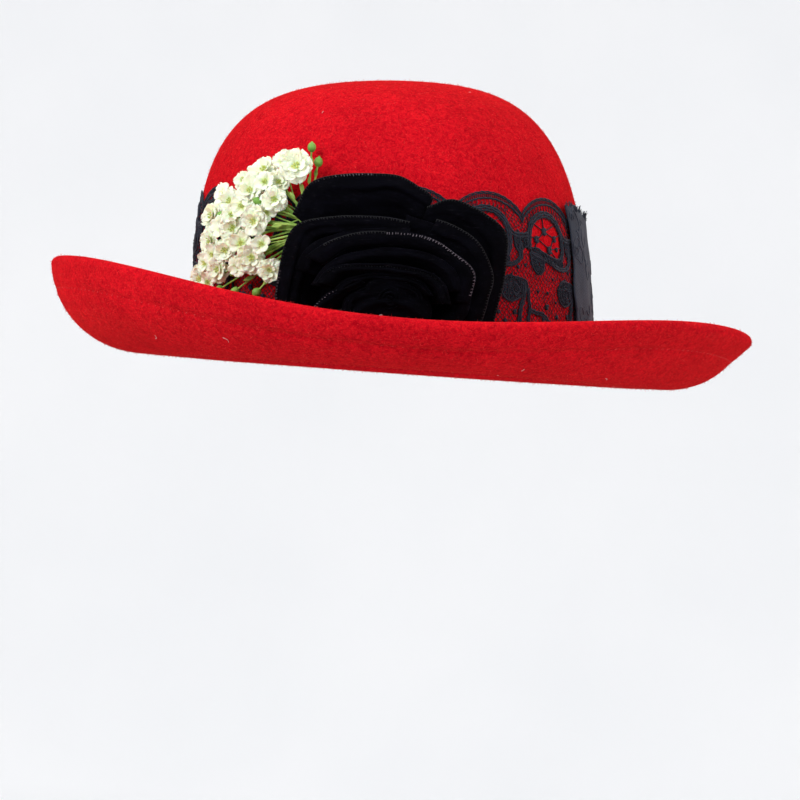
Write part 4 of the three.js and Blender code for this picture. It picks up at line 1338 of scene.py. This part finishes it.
def stage_bowl():
    """A pale floor that sweeps up into a wall all round, well away from the hat, the floor painted darker
    than the wall as painted shade under the brim.
    """
    profile = [(FLOOR_RADIUS / 2, FLOOR_Z), (FLOOR_RADIUS, FLOOR_Z)]
    for turn in np.linspace(0, TAU / 4, 13)[1:]:
        profile.append((FLOOR_RADIUS + SWEEP_RADIUS * math.sin(turn),
                        FLOOR_Z + SWEEP_RADIUS * (1 - math.cos(turn))))
    profile.append((FLOOR_RADIUS + SWEEP_RADIUS, WALL_TOP))
    steps = BOWL_SIDES
    points = [(0, 0, FLOOR_Z)]
    for radius, z in profile:
        for j in range(steps):
            turn = j / steps * TAU
            points.append((radius * math.cos(turn), radius * math.sin(turn), z))
    faces = [(0, 1 + j, 1 + (j + 1) % steps) for j in range(steps)]
    for i in range(len(profile) - 1):
        base = 1 + i * steps
        for j in range(steps):
            k = (j + 1) % steps
            faces.append((base + j, base + steps + j, base + steps + k, base + k))
    mesh = bpy.data.meshes.new("studio")
    mesh.from_pydata(points, [], faces)
    mesh.polygons.foreach_set("use_smooth", [True] * len(mesh.polygons))
    floor = bpy.data.objects.new("studio", mesh)
    bpy.context.scene.collection.objects.link(floor)
    paper = Surface("studio_paper", Specular_IOR_Level=0.1, Emission_Color=(1, 1, 1, 1),
                    Emission_Strength=0.085)
    tone = paper.ramp(paper.noise(400, detail=2), [(0.3, (0.86, 0.865, 0.875)), (0.7, (0.90, 0.90, 0.905))])
    # Painted shade: the floor is painted darker (0.60) than the wall, rising to the paper's tone 0.45 m up
    # the sweep, so that less light bounces up under the brim.
    rise = paper.node("ShaderNodeMath", operation="SUBTRACT")
    paper.link(paper.part(paper.place, "Z"), rise.inputs[0])
    rise.inputs[1].default_value = FLOOR_Z
    tone = paper.mix(paper.ramp(rise.outputs["Value"], [(0.0, 0.0), (0.45, 1.0)]), (0.60, 0.60, 0.61), tone)
    grain = paper.noise(1.5, detail=2)
    rough = paper.ramp(grain, [(0.0, 0.8), (1.0, 0.95)])
    mesh.materials.append(paper.finish(tone, rough, paper.bump(grain, 0.1, 0.2)))


def soft_light(name, place, target, size, power):
    lamp = bpy.data.lights.new(name, "AREA")
    lamp.shape = "RECTANGLE"
    lamp.size, lamp.size_y = size
    lamp.energy = power
    holder = bpy.data.objects.new(name, lamp)
    holder.location = place
    holder.rotation_euler = (Vector(target) - Vector(place)).to_track_quat("-Z", "Y").to_euler()
    bpy.context.scene.collection.objects.link(holder)


stage_bowl()
soft_light("key", (-2.0, -1.4, 1.3), (0, 0, 0.03), (1.6, 1.3), 54)
soft_light("fill", (1.9, -1.3, 0.9), (0, 0, 0.03), (1.6, 1.4), 18)
soft_light("top", (0.1, 0.5, 2.4), (0, 0, 0.05), (2.0, 2.0), 30)
soft_light("back", (0.3, 2.2, 1.2), (0, 0, 0.05), (2.0, 1.2), 14)

world = bpy.data.worlds.new("studio_air")
world.use_nodes = True
sky = world.node_tree.nodes["Background"].inputs
sky["Color"].default_value = (0.95, 0.97, 1.0, 1)
sky["Strength"].default_value = 0.50
bpy.context.scene.world = world
bpy.context.scene.view_settings.view_transform = "Standard"

# The camera looks along +Y from just below the brim, rolled a little as in the photo.
roll = math.radians(4.04)
camera_data = bpy.data.cameras.new("camera")
camera_data.sensor_width = 36.0
camera_data.lens = 136.85
camera = bpy.data.objects.new("camera", camera_data)
camera.matrix_world = Matrix((
    (math.cos(roll), -math.sin(roll), 0, 0.00454),
    (0, 0, -1, -1.300),
    (math.sin(roll), math.cos(roll), 0, -0.01228),
    (0, 0, 0, 1),
))
bpy.context.scene.collection.objects.link(camera)
bpy.context.scene.camera = camera
